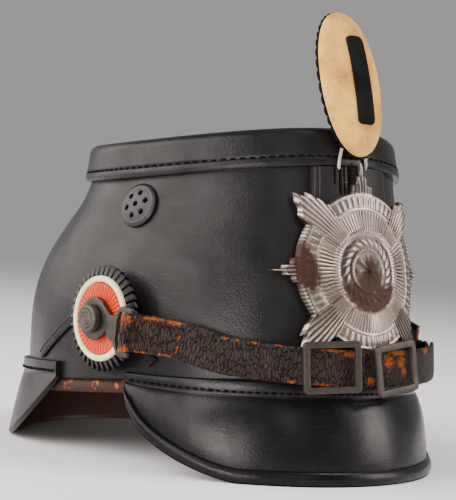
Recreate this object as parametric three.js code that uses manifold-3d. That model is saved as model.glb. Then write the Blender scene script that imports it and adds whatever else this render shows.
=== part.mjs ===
import * as THREE from 'three';
import { mergeVertices } from 'three/addons/utils/BufferGeometryUtils.js';
import Module from 'manifold-3d';

// A leather shako in millimetres. It is shaped in the hat's own level frame: the rim is at z = 0, the front
// is -Y and the wearer's right is -X. At the end it is leaned back onto the edges of its peak and guard.

const GAP = 0.3;

// Oval of the crown, from the hat's axis to the front, the back and each side
const RIM_FRONT = 105;
const RIM_BACK = 107;
const RIM_SIDE = 86.5;
const TOP_FRONT = 98.6;
const TOP_BACK = 61.5;
const TOP_SIDE = 70.3;
const BODY_WALL = 2;
const BODY_TURNS = 48;

// Lid: height of its band's lower edge over the rim, and the band itself
const LID_FRONT_HEIGHT = 97.5;
const LID_SIDE_HEIGHT = 94;
const LID_BACK_HEIGHT = 101.5;
const LID_DEPTH = 18;
const LID_WALL = 2.2;
const LID_CORNER = 5;
const LID_CROWN = 1.5;
const LID_TAPER = 1.2;
const LID_STRIP_HEIGHT = 3.8;
const LID_STRIP_PROUD = 0.6;

// Peak
const PEAK_WALL = 2.2;
const PEAK_HALF_ANGLE = 71;
const PEAK_LEVEL_ANGLE = 40;
const PEAK_DROP = 47.7;
const PEAK_FLARE = 10.6;
const PEAK_SEAM_FRONT = -0.5;
const PEAK_SEAM_SIDE = 3.5;
const PEAK_STRIP_FRONT = 7.5;
const PEAK_STRIP_SIDE = 4.6;
const PEAK_BEAD_HEIGHT = 6.8;
const PEAK_BEAD_PROUD = 2.4;
const PEAK_EDGE_WALL = 4;

// Neck guard
const GUARD_WALL = 2.2;
const GUARD_HALF_ANGLE = 83;
const GUARD_LEVEL_ANGLE = 42;
const GUARD_DROP = 25.7;
const GUARD_FLARE = 10.5;
const GUARD_SEAM_BACK = 11;
const GUARD_SEAM_SIDE = 8;
const GUARD_STRIP = 6;
const GUARD_EDGE_WALL = 2.8;

// Sweatband
const SWEATBAND_WALL = 1.5;
const SWEATBAND_HEIGHT = 18;
const SWEATBAND_ROLL = 6;

// Side welt
const WELT_WIDTH = 5;
const WELT_HEIGHT = 36;
const WELT_WALL = 1.3;

// The star, the pocket and the field badge sit this far to the wearer's right of the front's middle
const FRONT_ASIDE = 3.2;

// Badge pocket and pins
const PIN_DIAMETER = 1.6;
const POCKET_WIDTH = 45;
const POCKET_DROP = 4;
const POCKET_HEIGHT = 24;
const POCKET_WALL = 1.8;

// Star plate
const STAR_RADIUS = 51;
const STAR_SIDE_RADIUS = 48.5;
const STAR_RING_RADIUS = 36;
const STAR_RING_INNER = 28;
const STAR_MEDAL_RADIUS = 19.4;
const STAR_DROP = 48.5;
const STAR_WALL = 1.2;
const STAR_RELIEF = 1.6;

// Cockade, seen from the side of the hat
const COCKADE_FORWARD = 24.3;
const COCKADE_HEIGHT = 27.8;
const COCKADE_RADIUS = 24.5;
const COCKADE_RING_RADIUS = 19.6;
const COCKADE_DISC_RADIUS = 16.4;
const COCKADE_WALL = 1.2;
const COCKADE_RISE = 3.2;
const COCKADE_DISH = 1.6;
const RIM_PLEATS = 38;
const PLEAT_DEPTH = 0.8;

// Post and lug
const POST_HEAD_RADIUS = 6.5;
const POST_HEAD_DEPTH = 4.2;
const POST_NECK_RADIUS = 4.6;
const POST_SHAFT_RADIUS = 3;
const LUG_WALL = 2;
const LUG_RING_RADIUS = 10;
const LUG_REACH = 24.6;
const LUG_SLOPES = { right: 10.3, left: 23 };
const LUG_SHIFT = 2.3;
const LUG_ARM = 2.6;
const LUG_ARM_LENGTH = 5;

// Chin strap and its frames
const STRAP_WIDTH = 16.5;
const STRAP_WALL = 2;
const STRAP_FRONT_HEIGHT = 5;
const STRAP_TAIL = 25;
const STRAP_LOOP_WALL = 1.5;
const STRAP_FREE_ANGLE = -37;
const STRAP_UNDER_ANGLE = 20;
const STRAP_BAR_ANGLE = 64;
const STRAP_TOUCH_ANGLE = 44;
const BUCKLE_LENGTH = 28;
const BUCKLE_WIDTH = 23.2;
const BUCKLE_BAR = 3.1;
const BUCKLE_WALL = 2.4;
const BUCKLE_CORNER = 2.2;
const BUCKLE_ANGLES = { right: 17.1, left: -3 };
const BUCKLE_TURNS = { right: 4, left: 7 };

// Vents
const VENT_RADIUS = 10.7;
const VENT_RISE = 2.6;
const VENT_WALL = 1.2;
const VENT_HOLE_RADIUS = 1.2;
const VENT_HOLE_CIRCLE = 5.6;
const VENT_HOLES = 6;
const VENT_ANGLE = 79.5;
const VENT_DROP = 13.6;

// Field badge
const BADGE_HALF_HEIGHT = 35;
const BADGE_HALF_WIDTH = 17.8;
const BADGE_DEPTH = 8;
const BADGE_BACK_WALL = 1.4;
const BADGE_LEAN = 11.5;
const BADGE_FOOT = 4;
const BADGE_SCALLOPS = 40;
const BAR_HALF_HEIGHT = 21.3;
const BAR_DROP = 0.5;
const BAR_HALF_WIDTH = 5.2;
const BAR_CORNER = 2.5;
const BAR_WALL = 1.2;
const PIN_PLACES = { right: 13, left: -2 };
const PIN_REACH = 14;

// Each row is a level of the crown: its share of the height, and how far the oval has gone by there
// from the rim's size to the top's size, at the front, the back and the sides
const CROWN_LEVELS = [
  { height: 0.0, front: 0.0, back: 0.0, side: 0.0 },
  { height: 0.2, front: 0.0, back: 0.02, side: 0.0 },
  { height: 0.38, front: 0.1, back: 0.05, side: 0.07 },
  { height: 0.52, front: 0.26, back: 0.14, side: 0.2 },
  { height: 0.65, front: 0.45, back: 0.32, side: 0.38 },
  { height: 0.78, front: 0.68, back: 0.59, side: 0.62 },
  { height: 0.9, front: 0.88, back: 0.86, side: 0.86 },
  { height: 1.0, front: 1.0, back: 1.0, side: 1.0 },
];

const wasm = await Module();
wasm.setup();

const radians = THREE.MathUtils.degToRad;
const lerp = THREE.MathUtils.lerp;
const V = (x, y, z) => new THREE.Vector3(x, y, z);

// Closed solids

function closed(geometry) {
  geometry.deleteAttribute('normal');
  geometry.deleteAttribute('uv');
  const merged = mergeVertices(geometry, 1e-4);
  const source = merged.index.array;
  const faces = [];
  for (let i = 0; i < source.length; i += 3) {
    const [a, b, c] = [source[i], source[i + 1], source[i + 2]];
    if (a !== b && b !== c && c !== a) {
      faces.push([a, b, c]);
    }
  }
  const place = merged.attributes.position;
  const corner = (i) => new THREE.Vector3().fromBufferAttribute(place, i);
  const volume = faces.reduce((sum, [a, b, c]) => sum + corner(a).dot(corner(b).cross(corner(c))), 0);
  merged.setIndex(faces.flatMap(([a, b, c]) => (volume > 0 ? [a, b, c] : [a, c, b])));
  return merged;
}

// A wall whose columns each hold an outer and an inner line of points, either going all the way round or
// closed with a face at both ends
function wall(columns, round) {
  const half = columns[0].outer.length;
  const size = 2 * half;
  const loops = columns.map(({ outer, inner }) => [...outer, ...[...inner].reverse()]);
  const index = [];
  const at = (column, row) => (column % loops.length) * size + (row % size);
  const quad = (a, b, c, d) => index.push(a, b, c, a, c, d);
  const last = round ? loops.length : loops.length - 1;
  for (let column = 0; column < last; column += 1) {
    for (let row = 0; row < size; row += 1) {
      quad(at(column, row), at(column + 1, row), at(column + 1, row + 1), at(column, row + 1));
    }
  }
  if (!round) {
    for (let row = 0; row < half - 1; row += 1) {
      const mirror = size - 1 - row;
      quad(at(0, row), at(0, row + 1), at(0, mirror - 1), at(0, mirror));
      quad(at(last, mirror), at(last, mirror - 1), at(last, row + 1), at(last, row));
    }
  }
  const geometry = new THREE.BufferGeometry();
  const points = loops.flat().flatMap((p) => [p.x, p.y, p.z]);
  geometry.setAttribute('position', new THREE.Float32BufferAttribute(points, 3));
  geometry.setIndex(index);
  return closed(geometry);
}

// An outline given thickness and then bent, point by point
function bent(shape, depth, bend) {
  const geometry = new THREE.ExtrudeGeometry(shape, { depth, bevelEnabled: false, curveSegments: 5 });
  const place = geometry.attributes.position;
  for (let i = 0; i < place.count; i += 1) {
    const p = bend(place.getX(i), place.getY(i), place.getZ(i));
    place.setXYZ(i, p.x, p.y, p.z);
  }
  return closed(geometry);
}

function outline(points) {
  return new THREE.Shape(points.map(([x, y]) => new THREE.Vector2(x, y)));
}

function solid(geometry) {
  return new wasm.Manifold(new wasm.Mesh({
    numProp: 3,
    vertProperties: new Float32Array(geometry.attributes.position.array),
    triVerts: new Uint32Array(geometry.index.array),
  }));
}

function geometryOf(manifold) {
  const mesh = manifold.getMesh();
  const geometry = new THREE.BufferGeometry();
  geometry.setAttribute('position', new THREE.BufferAttribute(mesh.vertProperties, 3));
  geometry.setIndex(new THREE.BufferAttribute(mesh.triVerts, 1));
  return closed(geometry);
}

function spread(count, from, to) {
  return Array.from({ length: count + 1 }, (_, i) => lerp(from, to, i / count));
}

// Crown surface: angle 0 is the front, growing towards the wearer's right

const levels = new THREE.CubicInterpolant(
  CROWN_LEVELS.map((row) => row.height),
  CROWN_LEVELS.flatMap((row) => [row.front, row.back, row.side]),
  3,
);

function lidHeight(angle) {
  const ends = (LID_FRONT_HEIGHT + LID_BACK_HEIGHT) / 2;
  return (ends + LID_SIDE_HEIGHT) / 2
    + ((LID_FRONT_HEIGHT - LID_BACK_HEIGHT) / 2) * Math.cos(radians(angle))
    + ((ends - LID_SIDE_HEIGHT) / 2) * Math.cos(radians(2 * angle));
}

function crownTop(angle) {
  return lidHeight(angle) + LID_DEPTH - LID_WALL - GAP;
}

function crownOval(angle, z) {
  const share = THREE.MathUtils.clamp(z / lidHeight(angle), 0, 1);
  const [front, back, side] = levels.evaluate(share);
  return {
    front: lerp(RIM_FRONT, TOP_FRONT, front),
    back: lerp(RIM_BACK, TOP_BACK, back),
    side: lerp(RIM_SIDE, TOP_SIDE, side),
  };
}

function onOval({ front, back, side }, angle, z, out) {
  const sin = Math.sin(radians(angle));
  const cos = Math.cos(radians(angle));
  const half = (front + back) / 2;
  const normal = V(-sin / side, -cos / half, 0).normalize();
  return V(-side * sin, (back - front) / 2 - half * cos, z).addScaledVector(normal, out);
}

function onCrown(angle, z, out) {
  return onOval(crownOval(angle, z), angle, z, out);
}

// The plane that the hat stands on, through the lowest edges of the peak and the neck guard

const frontEdge = -(RIM_FRONT + PEAK_FLARE);
const backEdge = RIM_BACK + GUARD_FLARE;
const floorSlope = (PEAK_DROP - GUARD_DROP) / (backEdge - frontEdge);
const floorAt = (y) => -PEAK_DROP + floorSlope * (y - frontEdge);

function standing(angle, out, lift) {
  const p = onCrown(angle, 0, out);
  p.z = floorAt(p.y) + lift;
  return p;
}

// Pieces

function bodyShell() {
  const columns = spread(BODY_TURNS, 0, 360).slice(0, -1).map((angle) => {
    const lid = lidHeight(angle);
    const heights = [...CROWN_LEVELS.map((row) => row.height * lid), crownTop(angle)];
    return {
      outer: heights.map((z) => onCrown(angle, z, 0)),
      inner: heights.map((z) => onCrown(angle, z, -BODY_WALL)),
    };
  });
  return wall(columns, true);
}

function topLid() {
  const inside = GAP;
  const outside = GAP + LID_WALL;
  const top = LID_DEPTH;
  const lines = {
    outer: [
      { share: 0, out: 0, z: top + LID_CROWN },
      { out: outside - LID_TAPER - LID_CORNER, z: top },
      { out: outside - LID_TAPER - LID_CORNER * 0.3, z: top - LID_CORNER * 0.3 },
      { out: outside - LID_TAPER, z: top - LID_CORNER },
      { out: outside, z: LID_STRIP_HEIGHT + 0.6 },
      { out: outside + LID_STRIP_PROUD, z: LID_STRIP_HEIGHT },
      { out: outside + LID_STRIP_PROUD, z: 0 },
    ],
    inner: [
      { share: 0, out: 0, z: top - LID_WALL },
      { out: inside - LID_TAPER - LID_CORNER, z: top - LID_WALL },
      { out: inside - LID_TAPER, z: top - LID_WALL },
      { out: inside, z: top - LID_WALL },
      { out: inside, z: LID_STRIP_HEIGHT },
      { out: inside, z: LID_STRIP_HEIGHT / 2 },
      { out: inside, z: 0 },
    ],
  };
  const columns = spread(BODY_TURNS, 0, 360).slice(0, -1).map((angle) => {
    const base = lidHeight(angle);
    const middle = (lidHeight(0) + lidHeight(90) + lidHeight(180) + lidHeight(270)) / 4;
    const centre = V(0, (TOP_BACK - TOP_FRONT) / 2, 0);
    const place = ({ share = 1, out, z }) => {
      const edge = onOval({ front: TOP_FRONT, back: TOP_BACK, side: TOP_SIDE }, angle, 0, out);
      const p = centre.clone().lerp(edge, share);
      p.z = z + lerp(middle, base, share);
      return p;
    };
    return { outer: lines.outer.map(place), inner: lines.inner.map(place) };
  });
  return wall(columns, true);
}

function rise(share, power) {
  return 1 - Math.sqrt(Math.max(0, 1 - share ** power));
}

// Moves each point of a line, given as distance out from the crown and height, inwards by the wall
function inward(line, thickness) {
  return line.map((p, i) => {
    const before = line[Math.max(0, i - 1)];
    const after = line[Math.min(line.length - 1, i + 1)];
    const along = new THREE.Vector2(after[0] - before[0], after[1] - before[1]).normalize();
    return [p[0] + along.y * thickness, p[1] - along.x * thickness];
  });
}

function frontPeak() {
  const angles = spread(28, -90, 90).map((turn) => PEAK_HALF_ANGLE * Math.sin(radians(turn)));
  const columns = angles.map((angle) => {
    const share = Math.abs(angle) / PEAK_HALF_ANGLE;
    const seam = lerp(PEAK_SEAM_FRONT, PEAK_SEAM_SIDE, share ** 3);
    const strip = lerp(PEAK_STRIP_FRONT, PEAK_STRIP_SIDE, share ** 2);
    const rising = THREE.MathUtils.clamp(
      (Math.abs(angle) - PEAK_LEVEL_ANGLE) / (PEAK_HALF_ANGLE - PEAK_LEVEL_ANGLE), 0, 1);
    const lifted = rise(rising, 1.4);
    const start = [GAP + PEAK_WALL, seam - strip];
    const flare = lerp(PEAK_FLARE, start[0] + 0.6, lifted ** 2);
    const foot = flare - 1;
    const low = standing(angle, foot, 0).z;
    const bottom = lerp(low, start[1] - 1.5, lifted);
    const lift = bottom - low;
    const bead = Math.min(1, (start[1] - bottom) / (2 * PEAK_BEAD_HEIGHT));
    const groove = [Math.max(start[0], flare - PEAK_BEAD_PROUD * bead), bottom + PEAK_BEAD_HEIGHT * bead];
    const curve = new THREE.QuadraticBezierCurve(
      new THREE.Vector2(...start),
      new THREE.Vector2(groove[0], lerp(start[1], groove[1], 0.25)),
      new THREE.Vector2(...groove));
    const line = [[start[0], seam], ...curve.getPoints(4).map((p) => [p.x, p.y])];
    const back = inward(line, PEAK_WALL);
    back[0] = [GAP, seam];
    back[1] = [GAP, seam - strip];
    const beadLines = [[flare - 0.4 * bead, 0.75], [flare, 0.3]].map(([out, up]) => [
      out, bottom + PEAK_BEAD_HEIGHT * bead * up]);
    const wallLines = [0.7, 0.35].map((up) => [
      Math.max(GAP, groove[0] - PEAK_WALL), bottom + PEAK_BEAD_HEIGHT * bead * up]);
    const place = ([out, z]) => onCrown(angle, 0, out).setZ(z);
    return {
      outer: [...[...line, ...beadLines].map(place), standing(angle, foot, lift)],
      inner: [...[...back.map(([out, z]) => [Math.max(GAP, out), z]), ...wallLines].map(place),
        standing(angle, Math.max(GAP, foot - PEAK_EDGE_WALL), lift)],
    };
  });
  return wall(columns, false);
}

function neckGuard() {
  const angles = spread(22, -90, 90).map((turn) => 180 + GUARD_HALF_ANGLE * Math.sin(radians(turn)));
  const columns = angles.map((angle) => {
    const away = Math.abs(angle - 180);
    const share = away / GUARD_HALF_ANGLE;
    const seam = lerp(GUARD_SEAM_BACK, GUARD_SEAM_SIDE, share ** 2);
    const rising = THREE.MathUtils.clamp(
      (away - GUARD_LEVEL_ANGLE) / (GUARD_HALF_ANGLE - GUARD_LEVEL_ANGLE), 0, 1);
    const lifted = rising ** 2.1;
    const flare = lerp(GAP + GUARD_WALL + 0.6, GUARD_FLARE, 1 - rising ** 3);
    const start = [GAP + GUARD_WALL, seam - GUARD_STRIP];
    const low = standing(angle, flare, 0).z;
    const bottom = lerp(low, start[1] - 1.5, lifted);
    const lift = bottom - low;
    const middle = [lerp(start[0], flare, 0.42), lerp(start[1], bottom, 0.36)];
    const shin = [lerp(start[0], flare, 0.82), lerp(start[1], bottom, 0.78)];
    const line = [[start[0], seam], start, middle, shin];
    const back = line.map(([out, z]) => [out - GUARD_WALL, z]);
    const outer = line.map(([out, z]) => onCrown(angle, 0, out).setZ(z));
    const inner = back.map(([out, z]) => onCrown(angle, 0, out).setZ(z));
    outer.push(standing(angle, flare, lift));
    inner.push(standing(angle, Math.max(GAP, flare - GUARD_EDGE_WALL), lift));
    return { outer, inner };
  });
  return wall(columns, false);
}

function sweatband() {
  const face = -(BODY_WALL + GAP);
  const deep = face - SWEATBAND_WALL;
  const columns = spread(BODY_TURNS, 0, 360).slice(0, -1).map((angle) => ({
    outer: [
      onCrown(angle, SWEATBAND_HEIGHT, face),
      onCrown(angle, 0, face).setZ(-GAP),
      onCrown(angle, 0, -0.4).setZ(-GAP - SWEATBAND_ROLL * 0.15),
      onCrown(angle, 0, -1.2).setZ(-GAP - SWEATBAND_ROLL * 0.85),
    ],
    inner: [
      onCrown(angle, SWEATBAND_HEIGHT, deep),
      onCrown(angle, 0, deep).setZ(SWEATBAND_ROLL),
      onCrown(angle, 0, deep - 0.2).setZ(-SWEATBAND_ROLL * 0.6),
      onCrown(angle, 0, -2.6).setZ(-GAP - SWEATBAND_ROLL),
    ],
  }));
  return wall(columns, true);
}

// Each row is a point of the welt's middle line: an angle round the crown and a share of its height
const WELT_LINE = [
  { angle: 108, share: 0.32 },
  { angle: 100, share: 0.54 },
  { angle: 92, share: 0.765 },
  { angle: 85, share: 0.93 },
  { angle: 78, share: 1 },
  { angle: 72, share: 0.86 },
  { angle: 69, share: 0.585 },
  { angle: 66.5, share: 0.345 },
  { angle: 63.5, share: 0.21 },
];

function sideWelt(sign) {
  const line = new THREE.CatmullRomCurve3(
    WELT_LINE.map(({ angle, share }) => V(angle, share * WELT_HEIGHT, 0)));
  const steps = 20;
  const columns = spread(steps, 0, 1).map((t) => {
    const p = line.getPoint(t);
    const along = line.getTangent(t);
    const arc = radians(1) * RIM_SIDE;
    const across = new THREE.Vector2(-along.y, along.x * arc).normalize();
    const place = (side, out) => {
      const shift = (side * WELT_WIDTH) / 2;
      return onCrown(sign * (p.x + (across.x * shift) / arc), p.y + across.y * shift, out);
    };
    return {
      outer: [place(-1, GAP + WELT_WALL - 0.4), place(0, GAP + WELT_WALL), place(1, GAP + WELT_WALL - 0.4)],
      inner: [place(-1, GAP), place(0, GAP), place(1, GAP)],
    };
  });
  return wall(columns, false);
}

const pocketOut = PIN_DIAMETER + 3 * GAP;

function badgePocket() {
  const half = THREE.MathUtils.radToDeg(POCKET_WIDTH / 2 / TOP_SIDE);
  const middle = THREE.MathUtils.radToDeg(FRONT_ASIDE / TOP_SIDE);
  const columns = spread(12, middle - half, middle + half).map((angle) => {
    const top = lidHeight(angle) - POCKET_DROP;
    const edge = Math.abs(angle - middle) / half;
    const out = edge > 0.95 ? GAP : lerp(pocketOut, GAP, edge ** 4);
    const heights = spread(3, top, top - POCKET_HEIGHT);
    return {
      outer: heights.map((z) => onCrown(angle, z, out + POCKET_WALL)),
      inner: heights.map((z) => onCrown(angle, z, out)),
    };
  });
  return wall(columns, false);
}

const starOut = pocketOut + POCKET_WALL + GAP;
const starFace = starOut + STAR_WALL + STAR_RELIEF;

// Rays of one straight arm and of one slanting arm: the angle off the arm's middle and the length as a
// share of the star's radius
const STRAIGHT_ARM = [
  { off: -9.5, reach: 0.7 },
  { off: -8, reach: 0.78 },
  { off: -4, reach: 0.79 },
  { off: -3, reach: 0.86 },
  { off: -1, reach: 0.87 },
  { off: 0, reach: 1.0 },
  { off: 1, reach: 0.87 },
  { off: 3, reach: 0.86 },
  { off: 4, reach: 0.79 },
  { off: 8, reach: 0.78 },
  { off: 9.5, reach: 0.7 },
];
const SLANTING_ARM = [
  { off: -10.5, reach: 0.7 },
  { off: -8, reach: 0.81 },
  { off: -4.5, reach: 0.84 },
  { off: -3.5, reach: 0.89 },
  { off: 0.5, reach: 0.96 },
  { off: 4, reach: 0.86 },
  { off: 5.5, reach: 0.9 },
  { off: 8.5, reach: 0.8 },
  { off: 10.5, reach: 0.7 },
];

function starArms() {
  return spread(8, 0, 8).slice(0, -1).flatMap((arm) => {
    const rows = arm % 2 ? SLANTING_ARM : STRAIGHT_ARM;
    const longest = arm % 4 === 2 ? STAR_SIDE_RADIUS : STAR_RADIUS;
    const rays = rows.map(({ off, reach }) => ({
      angle: arm * 45 + off, radius: Math.max(STAR_RING_RADIUS, reach * longest) }));
    return [...rays, { angle: (arm + 0.5) * 45, radius: STAR_RING_RADIUS }];
  });
}

function frontStar() {
  const rings = [
    { radius: 0, height: STAR_RELIEF },
    { radius: STAR_MEDAL_RADIUS, height: STAR_RELIEF * 0.8 },
    { radius: STAR_MEDAL_RADIUS + 1, height: STAR_RELIEF * 0.3 },
    { radius: STAR_RING_INNER, height: STAR_RELIEF },
    { radius: STAR_RING_RADIUS - 0.8, height: STAR_RELIEF },
  ];
  const surface = (radius, angle, out) => {
    const x = radius * Math.sin(radians(angle)) - FRONT_ASIDE;
    const z = LID_FRONT_HEIGHT - STAR_DROP + radius * Math.cos(radians(angle));
    return onCrown(-THREE.MathUtils.radToDeg(x / (crownOval(0, z).side + out)), z, out);
  };
  const columns = starArms().map(({ angle, radius }) => {
    const place = (r, height) => surface(r, angle, starOut + height);
    return {
      outer: [
        ...rings.map((ring) => place(ring.radius, STAR_WALL + ring.height)),
        place(radius, STAR_WALL),
      ],
      inner: [0, STAR_MEDAL_RADIUS, STAR_MEDAL_RADIUS, STAR_RING_INNER, STAR_RING_INNER, radius]
        .map((r) => place(r, 0)),
    };
  });
  return wall(columns, true);
}

// The fittings at the side of the hat share one axle. Their own frame is forward, up and outwards from
// the point where the axle crosses the plane that the cockade rests on.

const cockadeBase = RIM_SIDE + 2 * GAP + WELT_WALL;

function sideways(geometry, sign) {
  const place = geometry.attributes.position;
  for (let i = 0; i < place.count; i += 1) {
    const [forward, up, out] = [place.getX(i), place.getY(i), place.getZ(i)];
    place.setXYZ(i, -sign * (cockadeBase + out), -COCKADE_FORWARD - forward, COCKADE_HEIGHT + up);
  }
  return closed(geometry);
}

function lathed(profile, turns) {
  const line = profile.map(([r, z]) => new THREE.Vector2(r, z));
  return new THREE.LatheGeometry(line, turns).rotateX(Math.PI / 2);
}

// A pleated ring between two circles, each with its radius, its height and its share of the pleats' depth
function pleated(pleats, inside, outside) {
  const columns = spread(2 * pleats, 0, 360).slice(0, -1).map((angle, i) => {
    const place = ({ radius, z, pleat }, wallShare) => {
      const fall = i % 2 ? pleat * PLEAT_DEPTH : 0;
      const direction = V(Math.cos(radians(angle)), Math.sin(radians(angle)), 0);
      return direction.multiplyScalar(radius - fall).setZ(z - fall - wallShare * COCKADE_WALL);
    };
    return {
      outer: [place(inside, 0), place(outside, 0)],
      inner: [place(inside, 1), place(outside, 1)],
    };
  });
  return wall(columns, true);
}

const ringTop = COCKADE_WALL + COCKADE_RISE;

function cockadeRim() {
  return pleated(RIM_PLEATS,
    { radius: COCKADE_RING_RADIUS + GAP, z: ringTop * 0.65, pleat: 0 },
    { radius: COCKADE_RADIUS, z: COCKADE_WALL + PLEAT_DEPTH / 2, pleat: 1 });
}

function cockadeRing() {
  const inner = COCKADE_DISC_RADIUS + GAP;
  const round = 0.6;
  return lathed([
    [inner, 0],
    [COCKADE_RING_RADIUS, 0],
    [COCKADE_RING_RADIUS, ringTop - round],
    [inner + round, ringTop],
    [inner, 0],
  ], 30);
}

function cockadeDisc() {
  const bore = POST_SHAFT_RADIUS + GAP;
  const low = ringTop - COCKADE_DISH;
  const high = ringTop - 0.4;
  return lathed([
    [bore, low - COCKADE_WALL],
    [COCKADE_DISC_RADIUS, high - COCKADE_WALL],
    [COCKADE_DISC_RADIUS, high],
    [bore, low],
    [bore, low - COCKADE_WALL],
  ], 30);
}

const lugBase = ringTop + 2 * GAP;
const lugTop = lugBase + LUG_WALL;

// How far out the crown is beside the axle
function crownSideAt(y, z) {
  const { front, back, side } = crownOval(90, z);
  const half = (front + back) / 2;
  return side * Math.sin(Math.acos(((back - front) / 2 - y) / half));
}

function sidePost() {
  const rounding = 0.7;
  const foot = crownSideAt(POST_SHAFT_RADIUS - COCKADE_FORWARD, COCKADE_HEIGHT) + GAP - cockadeBase;
  const head = lugTop + GAP;
  const face = head + POST_HEAD_DEPTH;
  return lathed([
    [0, foot],
    [POST_SHAFT_RADIUS, foot],
    [POST_SHAFT_RADIUS, lugBase - GAP],
    [POST_NECK_RADIUS, lugBase - GAP],
    [POST_NECK_RADIUS, head],
    [POST_HEAD_RADIUS - rounding, head],
    [POST_HEAD_RADIUS, head + rounding],
    [POST_HEAD_RADIUS, face - 2 * rounding],
    [POST_HEAD_RADIUS - rounding, face - rounding],
    [POST_HEAD_RADIUS - rounding, face],
    [0, face],
  ], 16);
}

// The fork's own line runs forward from the axle, at the slope that its lug hangs at
const lugLine = (slope, along, across) => new THREE.Vector2(along, across - LUG_SHIFT)
  .rotateAround(new THREE.Vector2(), -radians(slope));

function strapLug(slope) {
  const at = (along, across) => lugLine(slope, along, across);
  const half = STRAP_WIDTH / 2 + GAP;
  const tip = half + LUG_ARM;
  const bar = LUG_WALL / 2;
  const fork = LUG_REACH - LUG_ARM_LENGTH;
  const waist = (share) => lerp(LUG_RING_RADIUS, fork, share);
  const ring = spread(14, 40 - slope, 340 - slope).map((angle) => new THREE.Vector2(
    LUG_RING_RADIUS * Math.cos(radians(angle)), LUG_RING_RADIUS * Math.sin(radians(angle))));
  const shape = new THREE.Shape([
    ...ring,
    at(waist(0.2), -half * 0.55),
    at(waist(0.6), -half * 0.7),
    at(fork, -tip),
    at(LUG_REACH + LUG_ARM, -tip),
    at(LUG_REACH + LUG_ARM, -half),
    at(LUG_REACH + bar, -half),
    at(LUG_REACH + bar, half),
    at(LUG_REACH + LUG_ARM, half),
    at(LUG_REACH + LUG_ARM, tip),
    at(fork, tip),
    at(waist(0.6), half * 0.7),
    at(waist(0.2), half * 0.7),
  ]);
  const slot = [
    at(LUG_REACH - bar, -half),
    at(fork - bar / 2, -half),
    at(fork - 2 * bar, -half * 0.5),
    at(fork - 2 * bar, half * 0.5),
    at(fork - bar / 2, half),
    at(LUG_REACH - bar, half),
  ];
  const eye = new THREE.Path();
  eye.absarc(0, 0, POST_NECK_RADIUS + GAP, 0, 2 * Math.PI, true);
  shape.holes.push(new THREE.Path(slot), eye);
  return new THREE.ExtrudeGeometry(shape, { depth: LUG_WALL, bevelEnabled: false, curveSegments: 9 })
    .translate(0, 0, lugBase);
}

// Chin strap: each half runs from the bar of its lug, straight at first and then round the front

const barUp = (slope) => lugLine(slope, LUG_REACH, 1).sub(lugLine(slope, LUG_REACH, 0));
const strapUnder = starFace + 2 * GAP;
const strapOver = strapUnder + STRAP_WALL + GAP;
const frameOut = strapOver + STRAP_WALL + 2.5 * GAP;

function strapLine(sign, out, endAngle, slope) {
  const bar = lugLine(slope, LUG_REACH, 0);
  const up = barUp(slope);
  const barPlace = V(
    -(cockadeBase + lugBase + LUG_WALL / 2), -COCKADE_FORWARD - bar.x, COCKADE_HEIGHT + bar.y);
  const turns = spread(12, STRAP_TOUCH_ANGLE, endAngle).map((angle) => {
    const share = Math.abs(angle) / STRAP_BAR_ANGLE;
    const height = lerp(STRAP_FRONT_HEIGHT, barPlace.z, share ** 2.5);
    return onCrown(angle, 0, out).setZ(height);
  });
  const between = barPlace.clone().lerp(turns[0], 0.5);
  between.z = barPlace.z + (between.y - barPlace.y) * (up.x / up.y);
  const points = [barPlace, between, ...turns];
  return new THREE.CatmullRomCurve3(points.map((p) => V(sign * p.x, p.y, p.z)), false, 'centripetal');
}

function chinStrap(sign, out, endAngle, slope) {
  const line = strapLine(sign, out, endAngle, slope);
  const bar = barUp(slope);
  const length = line.getLength();
  const place = (s, n, w) => {
    const share = THREE.MathUtils.clamp(s / length, 0, 1);
    const p = line.getPointAt(share);
    const tangent = line.getTangentAt(share);
    const untwisted = THREE.MathUtils.clamp(s / STRAP_TAIL, 0, 1);
    const up = V(0, -bar.x, bar.y).lerp(V(0, 0, 1), untwisted).normalize();
    const outwards = V().crossVectors(tangent, up).normalize().multiplyScalar(sign);
    const square = V().crossVectors(outwards, tangent).normalize().multiplyScalar(sign);
    const across = s > STRAP_TAIL ? square : up;
    return p.addScaledVector(tangent, s - share * length)
      .addScaledVector(outwards, n)
      .addScaledVector(across, w * STRAP_WIDTH / 2);
  };
  const hole = (LUG_WALL / 2) * Math.SQRT2 + GAP;
  const loop = hole + STRAP_LOOP_WALL;
  const eye = wall(spread(16, 0, 360).slice(0, -1).map((angle) => {
    const turn = radians(angle);
    const rim = (radius, w) => place(radius * Math.cos(turn), radius * Math.sin(turn), w);
    return { outer: [rim(loop, -1), rim(loop, 1)], inner: [rim(hole, -1), rim(hole, 1)] };
  }), true);
  const leaves = [
    ...spread(5, hole + STRAP_LOOP_WALL / 2, STRAP_TAIL).map((s) => [s, -STRAP_WALL]),
    ...spread(22, STRAP_TAIL + 0.2, length).map((s) => [s, 0]),
  ];
  const ribbon = wall(leaves.map(([s, low]) => ({
    outer: [place(s, STRAP_WALL, -1), place(s, STRAP_WALL, 1)],
    inner: [place(s, low, -1), place(s, low, 1)],
  })), false);
  return geometryOf(solid(ribbon).add(solid(eye)));
}

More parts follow.
